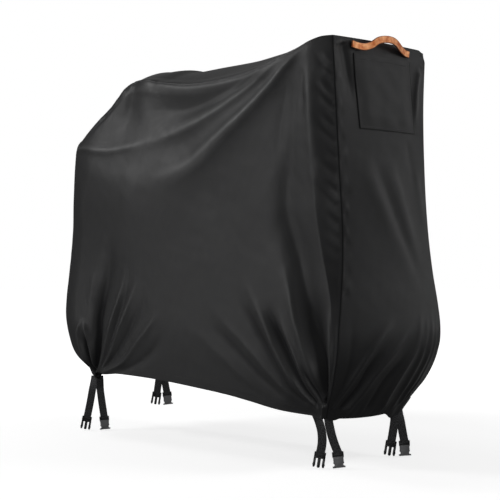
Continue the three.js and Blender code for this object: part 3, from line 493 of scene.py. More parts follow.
# folds raise the cloth along its own outward direction and die out at the sewn edges
def foldPanel(name, folds, seed, uneven):
    grid, normal = grids[name], normals[name]
    across = grid[..., 0] if name in ("near", "far") else grid[..., 1]
    z = grid[..., 2]
    height = foldField(folds, across, z)
    # painted light: sheen painted on the crests of folds and shade painted in deep low folds, carried to the cloth's
    # shine
    relief = np.clip((height - smoothGrid(height, paintedFoldTone["cells"])) / paintedFoldTone["crest"], -1, 1)
    deep = np.clip(-height / paintedFoldTone["hollow"], 0, 1) * ease((paintedFoldTone["low"] - z) / paintedFoldTone["hollowFade"])
    paintedSheenShare = lerp(paintedFoldTone["least"], 1, ease((z - paintedFoldTone["low"]) / paintedFoldTone["crestFade"]))
    paintedFoldLight[name] = np.clip(deep - relief * np.where(relief > 0, paintedSheenShare, paintedFoldTone["least"]), -1, 1)
    height += ripple(across, z, seed, uneven, *unevenness["long"])
    height += ripple(across, z, seed + 1, unevenness["shortShare"] * uneven, *unevenness["short"])
    groove = np.zeros(grid.shape)
    for other, otherEdge, ownEdge in seams[name]:
        gap = sizeOf(grid - grid[ownEdge][None])
        height = height * ease(gap / seamDip["backFade" if other == "back" else "fade"])
        shared = unit(normal[ownEdge] + normals[other][otherEdge])
        groove -= shared[None] * (seamDip["depth"] * np.exp(-(gap / seamDip["width"]) ** 2))[..., None]
    return grid + normal * height[..., None] + groove


folded = {
    "near": foldPanel("near", nearFolds, 3, 1.0),
    "far": foldPanel("far", farFolds, 5, 1.0),
    "front": foldPanel("front", frontFolds, 7, 0.6),
    "back": foldPanel("back", backFolds, 9, 0.8),
}
# the top follows the folded edges of the other panels and is a little uneven between them
topDrape = {"reach": 45, "uneven": 1.2, "waves": (380, 120), "endFade": 0.06, "sideFade": 0.3}
for edge, side in ((0, "near"), (-1, "far")):
    moved = folded[side][:, -1] - grids[side][:, -1]
    gap = sizeOf(top - top[:, edge][:, None])
    top += moved[:, None] * (1 - ease(gap / topDrape["reach"]))[..., None]
for edge, end in ((0, "back"), (-1, "front")):
    along = np.array([np.interp(topWs, ws, folded[end][:, -1, k]) for k in range(3)]).T
    moved = along - top[edge]
    gap = sizeOf(top - top[edge][None])
    top += moved[None] * (1 - ease(gap / topDrape["reach"]))[..., None]
inside = ease(np.minimum(us, 1 - us) / topDrape["endFade"])[:, None]
inside = inside * ease((1 - np.abs(topWs)) / topDrape["sideFade"])[None]
uneven = ripple(top[..., 0], top[..., 1], 13, topDrape["uneven"], *topDrape["waves"])
top += outward(top, 1) * (uneven * inside)[..., None]
folded["top"] = top
print("cloth draped")


# piece from a finished mesh, smooth except at edges sharper than the angle
def addPiece(mesh, sharpAngle):
    mesh.polygons.foreach_set("use_smooth", np.ones(len(mesh.polygons), bool))
    mesh.set_sharp_from_angle(angle=math.radians(sharpAngle))
    piece = bpy.data.objects.new(mesh.name, mesh)
    scene.collection.objects.link(piece)
    return piece


def addValues(mesh, name, values):
    mesh.attributes.new(name, "FLOAT", "POINT").data.foreach_set("value", values.astype(np.float32))


# closed thin sheet from a grid of outer points; uv in metres, edge holds the mm to the nearest sewn edge and hollow
# runs from -1 on the crests of folds to 1 deep in them, for painted sheen on the crests and painted shade deep in the
# folds
def makeSheet(name, grid, turn, thickness, edge, hollow=None):
    rows, columns = grid.shape[:2]
    outer = grid.reshape(-1, 3)
    inner = (grid - outward(grid, turn) * thickness).reshape(-1, 3)
    count = rows * columns
    ids = np.arange(count).reshape(rows, columns)
    quads = np.stack([ids[:-1, :-1], ids[1:, :-1], ids[1:, 1:], ids[:-1, 1:]], -1).reshape(-1, 4)
    ring = np.concatenate([ids[:, 0], ids[-1, 1:], ids[-2::-1, -1], ids[0, -2:0:-1]])
    after = np.roll(ring, -1)
    rim = np.stack([after, ring, ring + count, after + count], -1)
    faces = np.concatenate([quads, quads[:, ::-1] + count, rim])
    if turn < 0:
        faces = faces[:, ::-1]
    places = (np.concatenate([outer, inner]) - np.array(cover["origin"])) * mm
    mesh = bpy.data.meshes.new(name)
    mesh.from_pydata(places.tolist(), [], faces.tolist())
    run, climb = runAlong(grid[:, columns // 2]), runAlong(grid[rows // 2])
    flat = np.stack(np.meshgrid(run * mm, climb * mm, indexing="ij"), -1).reshape(-1, 2)
    flat = np.concatenate([flat, flat])
    loops = np.empty(len(mesh.loops), int)
    mesh.loops.foreach_get("vertex_index", loops)
    layer = mesh.uv_layers.new(name="cloth")
    layer.data.foreach_set("uv", flat[loops].ravel())
    addValues(mesh, "sewnEdge", np.tile(edge.ravel(), 2))
    addValues(mesh, "paintedFoldShadeAndSheen", np.zeros(2 * count) if hollow is None else np.tile(hollow.ravel(), 2))
    return addPiece(mesh, cover["sharpAngle"])


# mm from each point of a grid to the nearest sewn edge, with a turned hem counted from its own stitch line
def edgeDistance(grid, edges, hem=None, hemStitch=0):
    gaps = [sizeOf(grid - line) for line in edges]
    if hem is not None:
        gaps.append(np.abs(sizeOf(grid - hem) - hemStitch) + stitching["inset"])
    return np.minimum.reduce(gaps)


# materials: pattern sizes are in mm and turned into repeats in a metre
def perMetre(size):
    return 1000 / size


def startMaterial(name):
    material = bpy.data.materials.new(name)
    material.use_nodes = True
    material.node_tree.nodes.clear()
    return material, material.node_tree


# coated polyester, woven: near black with a faint thread grain, painted sheen on the crests of folds and painted shade
# deep in them
def wovenPolyester(name, colour, faded):
    material, tree = startMaterial(name)
    places = addNode(tree, "UVMap", {"uv_map": "cloth"})
    # threads 2.2 mm apart, drawn several times coarser than real ones so that the weave can show
    threads = [addNode(tree, "TexWave", {"Scale": perMetre(2.2) * math.pi / 10, "bands_direction": way,
                                         "Distortion": 0.6, "Detail": 1.0, "Detail Scale": 0.4}, {"Vector": places})
               for way in "XY"]
    weave = addNode(tree, "Math", {"operation": "MULTIPLY"}, {k: wave.outputs["Fac"] for k, wave in enumerate(threads)})
    crinkle = addNode(tree, "TexNoise", {"Scale": perMetre(22), "Detail": 4.0, "Roughness": 0.55},
                      {"Vector": places})  # 22 mm soft crinkles of the coating
    cloudy = addNode(tree, "TexNoise", {"Scale": perMetre(160), "Detail": 3.0, "Roughness": 0.6},
                     {"Vector": places})  # slow 160 mm unevenness of the dye
    shade = addNode(tree, "MapRange", {"From Min": 0.3, "From Max": 0.7}, {"Value": cloudy})
    base = addNode(tree, "Mix", {"data_type": "RGBA", 6: toLinear(colour), 7: toLinear(faded)}, {0: shade})
    # dashed stitches beside the sewn edges
    sewn = addNode(tree, "Attribute", {"attribute_name": "sewnEdge"}).outputs["Fac"]
    off = addNode(tree, "Math", {"operation": "SUBTRACT", 1: stitching["inset"]}, {0: sewn})
    away = addNode(tree, "Math", {"operation": "ABSOLUTE"}, {0: off})
    line = addNode(tree, "Math", {"operation": "LESS_THAN", 1: stitching["width"] / 2}, {0: away})
    split = addNode(tree, "SeparateXYZ", links={"Vector": places})
    along = addNode(tree, "Math", {"operation": "ADD"}, {0: split.outputs["X"], 1: split.outputs["Y"]})
    dash = addNode(tree, "Math", {"operation": "PINGPONG", 1: stitching["pitch"] / 2 * mm}, {0: along})
    gapped = addNode(tree, "Math", {"operation": "GREATER_THAN", 1: stitching["gap"] / 2 * mm}, {0: dash})
    stitch = addNode(tree, "Math", {"operation": "MULTIPLY"}, {0: line, 1: gapped})
    thread = addNode(tree, "Mix", {"data_type": "RGBA", 7: toLinear("#262627")}, {0: stitch, 6: base.outputs[2]})
    rough = addNode(tree, "MapRange", {"From Min": 0.25, "From Max": 0.75, "To Min": 0.47, "To Max": 0.52},
                    {"Value": crinkle})
    grain = addNode(tree, "Bump", {"Strength": 0.12, "Distance": 0.0006}, {"Height": weave})
    soft = addNode(tree, "Bump", {"Strength": 0.05, "Distance": 0.003}, {"Height": crinkle, "Normal": grain})
    raised = addNode(tree, "Bump", {"Strength": 0.6, "Distance": 0.0008}, {"Height": stitch, "Normal": soft})
    # painted shade and painted highlight: deep folds get less sheen, standing in for the shade in them, crests of folds
    # more, standing in for the light they catch, and the seam line less
    paintedShadeMask = addNode(tree, "Attribute", {"attribute_name": "paintedFoldShadeAndSheen"}).outputs["Fac"]
    paintedHollowShade = addNode(tree, "MapRange", {"From Min": 0.1, "From Max": 0.9, "To Min": 0.5, "To Max": 0.06},
                    {"Value": paintedShadeMask})
    # painted highlight: crests of folds get up to 1.8 times the sheen
    crest = addNode(tree, "MapRange", {"From Min": -1.0, "From Max": 0.0, "To Min": 1.8, "To Max": 1.0},
                    {"Value": paintedShadeMask})
    gutter = addNode(tree, "MapRange", {"From Min": 1.0, "From Max": 2.8, "To Min": 0.2}, {"Value": sewn})
    paintedFoldSheen = addNode(tree, "Math", {"operation": "MULTIPLY"}, {0: paintedHollowShade, 1: crest})
    paintedSheenAndSeam = addNode(tree, "Math", {"operation": "MULTIPLY"}, {0: paintedFoldSheen, 1: gutter})
    shader = addNode(tree, "BsdfPrincipled", {"IOR": 1.5, "Sheen Weight": 0.03, "Sheen Roughness": 0.4},
                     {"Base Color": thread.outputs[2], "Roughness": rough, "Specular IOR Level": paintedSheenAndSeam,
                      "Normal": raised})
    addNode(tree, "OutputMaterial", links={"Surface": shader})
    return material


# vegetable tanned leather, smooth: warm tan in soft clouds with fine pores and a dark burnished edge, which along the
# lower side is also painted shade
def tannedLeather(name):
    material, tree = startMaterial(name)
    places = addNode(tree, "TexCoord").outputs["Object"]
    pores = addNode(tree, "TexVoronoi", {"Scale": perMetre(1.6)}, {"Vector": places})
    cloudy = addNode(tree, "TexNoise", {"Scale": perMetre(16), "Detail": 4.0}, {"Vector": places})
    rubbed = addNode(tree, "MapRange", {"From Min": 0.34, "From Max": 0.68}, {"Value": cloudy})
    face = addNode(tree, "Mix", {"data_type": "RGBA", 6: toLinear("#ae5a24"), 7: toLinear("#e6a672")}, {0: rubbed})
    # dark edge: burnish, and along the lower side also painted shade
    rim = addNode(tree, "Attribute", {"attribute_name": "rim"})
    base = addNode(tree, "Mix", {"data_type": "RGBA", 7: toLinear("#5c2b10")},
                   {0: rim.outputs["Fac"], 6: face.outputs[2]})
    rough = addNode(tree, "MapRange", {"To Min": 0.42, "To Max": 0.6}, {"Value": cloudy})
    bump = addNode(tree, "Bump", {"Strength": 0.25, "Distance": 0.0004}, {"Height": pores})
    shader = addNode(tree, "BsdfPrincipled", {"IOR": 1.5},
                     {"Base Color": base.outputs[2], "Roughness": rough, "Normal": bump})
    addNode(tree, "OutputMaterial", links={"Surface": shader})
    return material


# polypropylene webbing, woven in cross ribs: flat black, flecked, with fine ribs across its width
def ribbedWebbing(name):
    material, tree = startMaterial(name)
    places = addNode(tree, "UVMap", {"uv_map": "cloth"})
    # ribs 4 mm apart, drawn about twice as coarse as real ones
    ribs = addNode(tree, "TexWave", {"Scale": perMetre(4) * math.pi / 10, "bands_direction": "Y"}, {"Vector": places})
    fuzz = addNode(tree, "TexNoise", {"Scale": perMetre(3), "Detail": 3.0}, {"Vector": places})
    fleck = addNode(tree, "MapRange", {"From Min": 0.38, "From Max": 0.64}, {"Value": fuzz})
    base = addNode(tree, "Mix", {"data_type": "RGBA", 6: toLinear("#1d1d1e"), 7: toLinear("#58585a")}, {0: fleck})
    bump = addNode(tree, "Bump", {"Strength": 0.5, "Distance": 0.0006}, {"Height": ribs.outputs["Fac"]})
    shader = addNode(tree, "BsdfPrincipled", {"IOR": 1.49, "Roughness": 0.8},
                     {"Base Color": base.outputs[2], "Normal": bump})
    addNode(tree, "OutputMaterial", links={"Surface": shader})
    return material


# acetal, injection moulded: even colour with a fine spark-eroded grain and a soft gloss
def mouldedAcetal(name, colour, lighter):
    material, tree = startMaterial(name)
    places = addNode(tree, "TexCoord").outputs["Object"]
    grain = addNode(tree, "TexNoise", {"Scale": perMetre(0.8), "Detail": 2.0}, {"Vector": places})
    cloudy = addNode(tree, "TexNoise", {"Scale": perMetre(12), "Detail": 2.0}, {"Vector": places})
    base = addNode(tree, "Mix", {"data_type": "RGBA", 6: toLinear(colour), 7: toLinear(lighter)}, {0: cloudy})
    rough = addNode(tree, "MapRange", {"To Min": 0.34, "To Max": 0.5}, {"Value": cloudy})
    bump = addNode(tree, "Bump", {"Strength": 0.15, "Distance": 0.0002}, {"Height": grain})
    shader = addNode(tree, "BsdfPrincipled", {"IOR": 1.48},
                     {"Base Color": base.outputs[2], "Roughness": rough, "Normal": bump})
    addNode(tree, "OutputMaterial", links={"Surface": shader})
    return material


coverCloth = wovenPolyester("coated woven polyester", "#252526", "#272728")
pocketCloth = wovenPolyester("coated woven polyester, pocket", "#262627", "#282829")
handleLeather = tannedLeather("vegetable tanned leather")
strapWebbing = ribbedWebbing("polypropylene webbing")
# the black acetal also paints shade: the block inside each socket uses it, standing in for the shaded hollow between
# the plates
blackAcetalAndSocketShade = mouldedAcetal("moulded acetal, black, and painted shade inside the sockets", "#141415", "#1b1b1c")
socketPlastic = mouldedAcetal("moulded acetal, grey", "#777779", "#838385")
print("materials made")

# the panels as pieces, with the flat size each was cut to
panelCuts = {
    "near": {"node": "near_side_panel", "flat": (1.27, 1.08), "area": 1.13, "on": ["top_panel"]},
    "far": {"node": "far_side_panel", "flat": (1.27, 1.08), "area": 1.13, "on": ["top_panel"]},
    "front": {"node": "front_panel", "flat": (0.48, 1.1), "area": 0.45, "on": ["top_panel"]},
    "back": {"node": "back_panel", "flat": (0.46, 0.82), "area": 0.33, "on": ["top_panel"]},
    "top": {"node": "top_panel", "flat": (1.34, 0.5), "area": 0.6, "on": ["near_side_panel", "far_side_panel"]},
}
for name, cut in panelCuts.items():
    grid = folded[name]
    edges = [grid[:1], grid[-1:], grid[:, -1:]]
    if name == "top":  # sewn on all four sides
        edge = edgeDistance(grid, edges + [grid[:, :1]])
    else:
        edge = edgeDistance(grid, edges, grid[:, :1], cover["hemStitch"])
    pieceName = cut["node"].replace("_panel", "_cloth")
    piece = makeSheet(pieceName, grid, turns[name], cover["thickness"], edge, paintedFoldLight.get(name))
    piece.data.materials.append(coverCloth)
    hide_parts(cut["node"])
    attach(piece, "root")
print("panels sewn")


# place and outward direction on the folded front panel, by share of half width and by height
def onFront(w, z):
    w, z = np.broadcast_arrays(np.asarray(w, float), np.asarray(z, float))
    rows = np.interp(w, ws, np.arange(len(ws)))
    heights = folded["front"][len(ws) // 2, :, 2]
    columns = np.interp(z, heights, np.arange(len(vs)))
    i, j = np.minimum(rows.astype(int), len(ws) - 2), np.minimum(columns.astype(int), len(vs) - 2)
    s, t = (rows - i)[..., None], (columns - j)[..., None]

    def read(grid):
        return lerp(lerp(grid[i, j], grid[i + 1, j], s), lerp(grid[i, j + 1], grid[i + 1, j + 1], s), t)

    return read(folded["front"]), unit(read(outward(folded["front"], 1)))


pocket = {
    "bottom": 940, "top": 1148, "left": (-0.53, -0.6), "right": (0.745, 0.62), "steps": 90,
    "stand": 2.2, "thickness": 1.4, "hemStitch": 14,
    # mm out of the panel, with the share of the pocket over which each fades
    "puff": 2.4, "puffFade": 0.2, "mouth": 1.1, "mouthFade": 0.3, "gape": 1.6, "gapeFade": 0.15,
    "uneven": 0.6, "unevenFade": 0.1, "waves": (160, 60), "spread": (300, 250),
    "flat": (0.29, 0.23), "area": 0.062,
}
shares = np.linspace(0, 1, pocket["steps"] + 1)
s, t = np.meshgrid(shares, shares, indexing="ij")
w = lerp(lerp(pocket["left"][0], pocket["left"][1], t), lerp(pocket["right"][0], pocket["right"][1], t), s)
grid, direction = onFront(w, lerp(pocket["bottom"], pocket["top"], t))
fromSides = np.minimum(s, 1 - s)
puffed = ease(fromSides / pocket["puffFade"]) * ease(t / pocket["puffFade"])
rise = pocket["stand"] + pocket["puff"] * puffed * ease((pocket["mouth"] - t) / pocket["mouthFade"])
rise += pocket["gape"] * ease((t - 1 + pocket["gapeFade"]) / pocket["gapeFade"]) * np.sin(math.pi * s)
uneven = ripple(pocket["spread"][0] * s, pocket["spread"][1] * t, 21, pocket["uneven"], *pocket["waves"])
rise += uneven * ease(fromSides / pocket["unevenFade"]) * ease(t / pocket["unevenFade"])
grid = grid + direction * rise[..., None]
edge = edgeDistance(grid, [grid[:1], grid[-1:], grid[:, :1]], grid[:, -1:], pocket["hemStitch"])
piece = makeSheet("patch_pocket", grid, 1, pocket["thickness"], edge)
piece.data.materials.append(pocketCloth)
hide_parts("pocket")
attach(piece, "root")
print("pocket sewn on")

handle = {
    # place across, standing out, rise
    "line": [(-124, 0, 1), (-104, 1, -2), (-82, 8, -4), (-60, 17, 3), (-38, 23, 17), (-12, 25, 23), (18, 24, 24),
             (46, 18, 20), (76, 9, 9), (104, 1, 1), (124, 0, -2)],
    "panelX": 598.3, "height": 1170, "width": 20, "thickness": 4.5, "steps": 150, "around": 40, "stand": 2.6,
    "squareness": 0.25, "rimShare": (0.72, 0.96), "sharpAngle": 50,
}
places = np.linspace(0, 1, handle["steps"] + 1)
rows = [(k / (len(handle["line"]) - 1),) + row for k, row in enumerate(handle["line"])]
acrossLine, outLine, riseLine = (readTable(rows, k, places) for k in (1, 2, 3))
base = handle["panelX"] + handle["stand"] + handle["thickness"] / 2
centre = np.stack([base + outLine, acrossLine, handle["height"] + riseLine], -1)
tangent = unit(np.gradient(centre, axis=0))
outDirection = unit(np.array([1.0, 0, 0])[None] - tangent * tangent[:, :1])
upDirection = np.cross(outDirection, tangent)
angles = np.linspace(0, 2 * math.pi, handle["around"], endpoint=False)
turned = np.stack([np.cos(angles), np.sin(angles)], -1)
section = np.sign(turned) * np.abs(turned) ** handle["squareness"]  # squarish section with rounded edges
thick, tall = section[None, :, :1] * handle["thickness"] / 2, section[None, :, 1:] * handle["width"] / 2
rings = centre[:, None] + outDirection[:, None] * thick + upDirection[:, None] * tall
ids = np.arange(rings.shape[0] * rings.shape[1]).reshape(rings.shape[:2])
nextIds = np.roll(ids, -1, axis=1)
faces = np.stack([ids[:-1], ids[1:], nextIds[1:], nextIds[:-1]], -1).reshape(-1, 4).tolist()
faces += [ids[0].tolist(), ids[-1][::-1].tolist()]
mesh = bpy.data.meshes.new("leather_handle")
mesh.from_pydata(((rings.reshape(-1, 3) - np.array(cover["origin"])) * mm).tolist(), [], faces)
handlePiece = addPiece(mesh, handle["sharpAngle"])
# rim runs from 0 to 1 towards both long edges, for the dark edge: burnish, and along the lower side also painted shade
rimStart, rimEnd = handle["rimShare"]
addValues(mesh, "rim", np.tile(ease((np.abs(section[:, 1]) - rimStart) / (rimEnd - rimStart)), len(centre)))
handlePiece.data.materials.append(handleLeather)
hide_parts("handle")
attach(handlePiece, "root")
print("handle made")

straps = {
    "facing": math.radians(45.6), "width": 25.0, "thickness": 1.6, "spacing": 1.95,
    "buckleLength": 44.0, "inSlot": 12.4, "steps": 26, "acrossSteps": 8,
    "tucked": 9.0, "behindHem": 4.0, "hemSlope": 0.95, "freeShare": 0.4,
    # corner, place x and y, height of the hem over the straps
    "places": {"near_front": (536.80, -154.98, 131.38), "far_front": (542.03, 148.10, 122.31),
               "near_back": (-520.76, -143.44, 170.62), "far_back": (-521.01, 143.74, 171.32)},
    # corner, half, place across, lean in degrees, layer, foot, place across at the hem and on the way down
    "tails": [("near_front", "prongs", -24, -9, 0, 0, -27, -4), ("near_front", "socket", 35, 6, 1, 0, 5, 9),
              ("far_front", "prongs", -24, -9, 0, 0, -5, -9), ("far_front", "socket", 23, 3, 1, 0, 6, 12),
              ("near_back", "prongs", -39, -10, 0, 0, -8, -16), ("near_back", "socket", 29, 5, 1, 0, 7, 14),
              ("far_back", "prongs", -22, -9, 0, 60, -4, -10), ("far_back", "socket", 24, 6, 1, 60, 4, 12)],
}


# closed prism with softened edges from an outline in x and z
def addPrism(shape, outline, depthLow, depthHigh, soften, index=0):
    block = bmesh.new()
    lower = [block.verts.new((x, depthLow, z)) for x, z in outline]
    face = block.faces.new(lower)
    grown = bmesh.ops.extrude_face_region(block, geom=[face])
    moved = [v for v in grown["geom"] if isinstance(v, bmesh.types.BMVert)]
    bmesh.ops.translate(block, vec=(0, depthHigh - depthLow, 0), verts=moved)
    bmesh.ops.recalc_face_normals(block, faces=block.faces)
    bmesh.ops.bevel(block, geom=list(block.edges), offset=soften, segments=2, affect="EDGES", profile=0.5)
    for face in block.faces:
        face.material_index = index
    part = bpy.data.meshes.new("block")
    block.to_mesh(part)
    block.free()
    shape.from_mesh(part)
    bpy.data.meshes.remove(part)


def mirrored(half):
    return half + [(-x, z) for x, z in reversed(half)]


# buckle halves, from the open end up
buckles = {
    # outlines in x and z
    "tongue": [(2.6, 0), (4.3, 3), (4.3, 28)],
    "arm": [(9.6, 27), (9.2, 6), (11.4, 0.8), (15.6, 1.2), (17.4, 10), (16.2, 13), (16.2, 27)],
    "plate": [(16.5, 0), (17.8, 1), (17.8, 3.2), (12.6, 4.2), (12.2, 10.5), (15.5, 13), (14.3, 15.5), (13.5, 19),
              (14.1, 26), (16, 31)],
    "tongueDepth": 2.2, "armDepth": 2.8, "plateDepths": ((-5.4, -3.4), (3.4, 5.4)),
    "softProng": 0.5, "softPlate": 0.6, "sharpAngle": 40,
    # bars: x low and high, z low and high, depth low and high, softening of the edges, material
    "prongs": [(-16, 16, 26, 31, -3.4, 3.4, 0.7, 0), (-16, -13.2, 30, 43.8, -3.2, 3.2, 0.6, 0),
               (13.2, 16, 30, 43.8, -3.2, 3.2, 0.6, 0), (-14, 14, 41, 43.8, 1.3, 3.2, 0.5, 0),
               (-14, 14, 35, 38, -3.2, -1.3, 0.5, 0), (-13.4, 13.4, 30, 42, 1.5, 2.7, 0.3, 0)],
    "socket": [(-17.6, -12.7, 0.2, 3, -5.2, 5.2, 0.6, 0), (-14.2, -12.7, 13, 31, -5.0, 5.0, 0.6, 0),
               (12.7, 17.6, 0.2, 3, -5.2, 5.2, 0.6, 0), (12.7, 14.2, 13, 31, -5.0, 5.0, 0.6, 0),
               # the black block between the plates, z 8 to 24, is painted shade: it stands for the shaded hollow inside
               # the socket
               (-12.6, 12.6, 24.2, 31, -4.6, 4.6, 0.6, 0), (-12.4, 12.4, 8, 24, -2.9, 2.9, 0.3, 1),
               (-16, -13.2, 29, 43.8, -3.6, 3.6, 0.6, 1), (13.2, 16, 29, 43.8, -3.6, 3.6, 0.6, 1),
               (-14, 14, 41, 43.8, 1.3, 3.6, 0.5, 1), (-14, 14, 34, 37.5, -3.6, -1.3, 0.5, 1),
               (-13.4, 13.4, 30, 42, 1.5, 2.9, 0.3, 1)],
}


def buckleShape(half):
    shape = bmesh.new()
    if half == "prongs":
        soft, deep = buckles["softProng"], buckles["armDepth"]
        addPrism(shape, mirrored(buckles["tongue"]), -buckles["tongueDepth"], buckles["tongueDepth"], soft)
        for arm in (buckles["arm"], [(-x, z) for x, z in reversed(buckles["arm"])]):
            addPrism(shape, arm, -deep, deep, soft)
    else:
        for low, high in buckles["plateDepths"]:
            addPrism(shape, mirrored(buckles["plate"]), low, high, buckles["softPlate"])
    for x0, x1, z0, z1, low, high, soften, index in buckles[half]:
        addPrism(shape, [(x0, z0), (x1, z0), (x1, z1), (x0, z1)], low, high, soften, index)
    return shape


# webbing from behind the hem down to its buckle; its top follows the inside of the corner
def makeTail(name, frameMatrix, start, via, mouth, end, lean):
    steps = np.linspace(0, 1, straps["steps"] + 1)
    centre = start[None] + (mouth - start)[None] * steps[:, None]
    centre[:, 0] = start[0] * (1 - steps) ** 2 + 2 * via * steps * (1 - steps) + mouth[0] * steps ** 2
    turn = lean * steps
    tuck = 1 - ease(steps / straps["freeShare"])
    centre, turn, tuck = np.concatenate([centre, end[None]]), np.append(turn, lean), np.append(tuck, 0)
    across = np.linspace(-0.5, 0.5, straps["acrossSteps"] + 1) * straps["width"]
    local = centre[None] + np.stack([across[:, None] * np.cos(turn)[None], np.zeros((len(across), len(turn))),
                                     across[:, None] * np.sin(turn)[None]], -1)
    local[..., 1] += tuck[None] * (straps["behindHem"] + straps["hemSlope"] * np.abs(local[..., 0]))
    local[..., 1] -= straps["thickness"] / 2
    turned = np.array(frameMatrix.to_3x3())
    grid = local @ turned.T + np.array(frameMatrix.translation)
    return makeSheet(name, grid, -1, straps["thickness"], np.full(grid.shape[:2], stitching["unsewn"]))


for cornerName, half, across, leanDegrees, layer, foot, hemAcross, via in straps["tails"]:
    x, y, hemZ = straps["places"][cornerName]
    lean = math.radians(leanDegrees)
    behind = layer * straps["spacing"]
    place = Matrix.Translation((x, y, 0)) @ Matrix.Rotation(straps["facing"], 4, "Z")
    holder = Matrix.Translation((across, behind, foot)) @ Matrix.Rotation(-lean, 4, "Y")
    mouth = np.array(holder @ Vector((0, 0, straps["buckleLength"])))
    end = np.array(holder @ Vector((0, 0, straps["buckleLength"] - straps["inSlot"])))
    start = np.array((hemAcross, behind, hemZ + straps["tucked"]))
    tail = makeTail(f"{cornerName}_{half}_webbing", place, start, via, mouth, end, lean)
    tail.data.materials.append(strapWebbing)
    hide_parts(f"{cornerName}_tail_{half}")
    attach(tail, "root")
    length = (sizeOf(mouth - start) + straps["inSlot"]) * mm
    shape = buckleShape(half)
    toFrame = Matrix.Scale(mm, 4) @ Matrix.Translation(-Vector(cover["origin"])) @ place @ holder
    bmesh.ops.transform(shape, matrix=toFrame, verts=shape.verts)
    mesh = bpy.data.meshes.new(f"{cornerName}_{half}_buckle")
    shape.to_mesh(mesh)
    shape.free()
    buckle = addPiece(mesh, buckles["sharpAngle"])
    buckle.data.materials.append(blackAcetalAndSocketShade if half == "prongs" else socketPlastic)
    # second slot: black acetal, also used for the block of painted shade inside the socket
    buckle.data.materials.append(blackAcetalAndSocketShade)
    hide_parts(f"{cornerName}_buckle_{half}")
    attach(buckle, "root")
print("straps and buckles hung")

# studio: pale floor, soft lights at the sides, low over the floor and overhead
studio = {
    "floorHeight": -1.1774, "floorSize": 30.0, "floorGap": 0.004, "floorColour": "#f4f4f4",
    "floorGlow": (0.74, 1.0), "glowReach": (0.9, 2.6),
    # name: place, target, size, power
    "lights": {
        "left soft light": ((-2.7, -3.1, 1.3), (0, 0, -0.5), (1.1, 1.1), 42),
        "left low soft light": ((-2.2, -3.6, -0.3), (0, 0, -0.7), (1.2, 1.2), 4),
        "left floor soft light": ((-1.6, -2.4, -1.0), (0, -0.2, -0.8), (2.0, 0.3), 5),
        "right soft light": ((2.8, 3.0, 0.8), (0.4, 0, -0.4), (1.2, 1.2), 9),
        "right far soft light": ((1.4, 3.6, -0.3), (0.5, 0, -0.6), (0.8, 1.4), 5),
        "right floor soft light": ((3.0, 1.9, -1.0), (0.6, 0, -0.9), (1.6, 0.3), 3.0),
        "front floor soft light": ((1.9, -1.9, -1.05), (0.4, 0, -0.95), (1.6, 0.25), 9),
        "front high soft light": ((3.0, 1.8, 2.6), (0.5, 0, 0.0), (1.2, 1.2), 20),
        "overhead soft light": ((-2.4, -0.6, 2.8), (-0.1, -0.1, -0.1), (1.0, 1.0), 14),
        "near floor bounce": ((-0.45, -0.62, -1.165), (-0.45, -0.62, 0), (1.1, 0.4), 0.5),
        "right floor bounce": ((0.55, 0.8, -1.165), (0.55, 0.8, 0), (0.8, 0.5), 0.3),
        "behind soft light": ((-2.7, 1.6, 1.7), (0, 0, -0.1), (1.4, 1.4), 1.8),
        "handle light": ((2.6, -0.6, 1.6), (0.6, 0, 0), (0.6, 0.6), 50),
    },
    "ambient": 0.055,
}
bpy.ops.mesh.primitive_plane_add(size=studio["floorSize"], location=(0, 0, studio["floorHeight"] - studio["floorGap"]))
floor = bpy.context.object
floor.name = "studio_floor"
floor.visible_diffuse = False
floor.visible_glossy = False
floorPaint, tree = startMaterial("matt studio paint")  # even and pale, so that only soft shadows show
spot = addNode(tree, "TexCoord").outputs["Object"]
reach = addNode(tree, "VectorMath", {"operation": "LENGTH"}, {0: spot}).outputs["Value"]
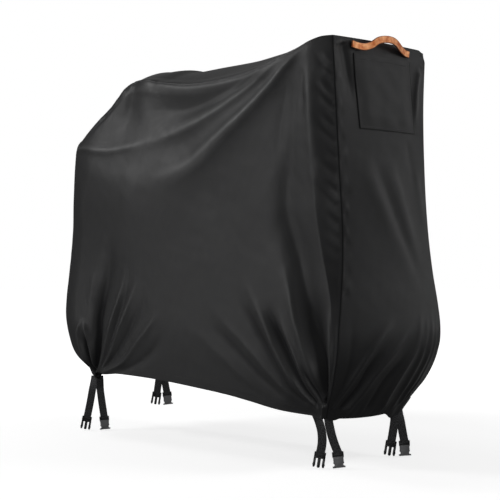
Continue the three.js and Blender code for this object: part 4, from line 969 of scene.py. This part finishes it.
glow = addNode(tree, "MapRange", {"From Min": studio["glowReach"][0], "From Max": studio["glowReach"][1],
                                  "To Min": studio["floorGlow"][0], "To Max": studio["floorGlow"][1]}, {"Value": reach})
shader = addNode(tree, "BsdfPrincipled", {"Base Color": toLinear(studio["floorColour"]), "Roughness": 0.9,
                                          "Specular IOR Level": 0.0, "Emission Color": toLinear("#ffffff")},
                 {"Emission Strength": glow})
addNode(tree, "OutputMaterial", links={"Surface": shader})
floor.data.materials.append(floorPaint)
for name, (place, target, size, power) in studio["lights"].items():
    lamp = bpy.data.lights.new(name, "AREA")
    lamp.shape = "RECTANGLE"
    lamp.size, lamp.size_y = size
    lamp.energy = power
    lampStand = bpy.data.objects.new(name, lamp)
    lampStand.location = place
    lampStand.rotation_euler = (Vector(target) - Vector(place)).to_track_quat("-Z", "Y").to_euler()
    scene.collection.objects.link(lampStand)
    lampStand.visible_camera = False
    if name == "handle light":  # reaches the leather only
        reached = bpy.data.collections.new("lit by the handle light")
        reached.objects.link(handlePiece)
        lampStand.light_linking.receiver_collection = reached

world = bpy.data.worlds.new("white studio")
scene.world = world
world.use_nodes = True
tree = world.node_tree
tree.nodes.clear()
ray = addNode(tree, "LightPath").outputs["Is Camera Ray"]
fill = addNode(tree, "Background", {"Color": (1, 1, 1, 1), "Strength": studio["ambient"]})
white = addNode(tree, "Background", {"Color": (1, 1, 1, 1), "Strength": 1.0})
shown = addNode(tree, "MixShader", links={0: ray, 1: fill, 2: white})
addNode(tree, "OutputWorld", links={"Surface": shown})
scene.view_settings.view_transform = "Standard"

camera = {"place": (2.832, -2.721, -0.588), "forward": (-0.7144, 0.6997, 0.0), "lens": 89.64, "sensor": 36.0,
          "rise": 0.01}
cameraData = bpy.data.cameras.new("photo camera")
cameraData.lens = camera["lens"]
cameraData.sensor_width = camera["sensor"]
cameraData.shift_y = camera["rise"]
cameraObject = bpy.data.objects.new("photo camera", cameraData)
cameraObject.location = camera["place"]
cameraObject.rotation_euler = Vector(camera["forward"]).to_track_quat("-Z", "Y").to_euler()
scene.collection.objects.link(cameraObject)
scene.camera = cameraObject
print("studio set")
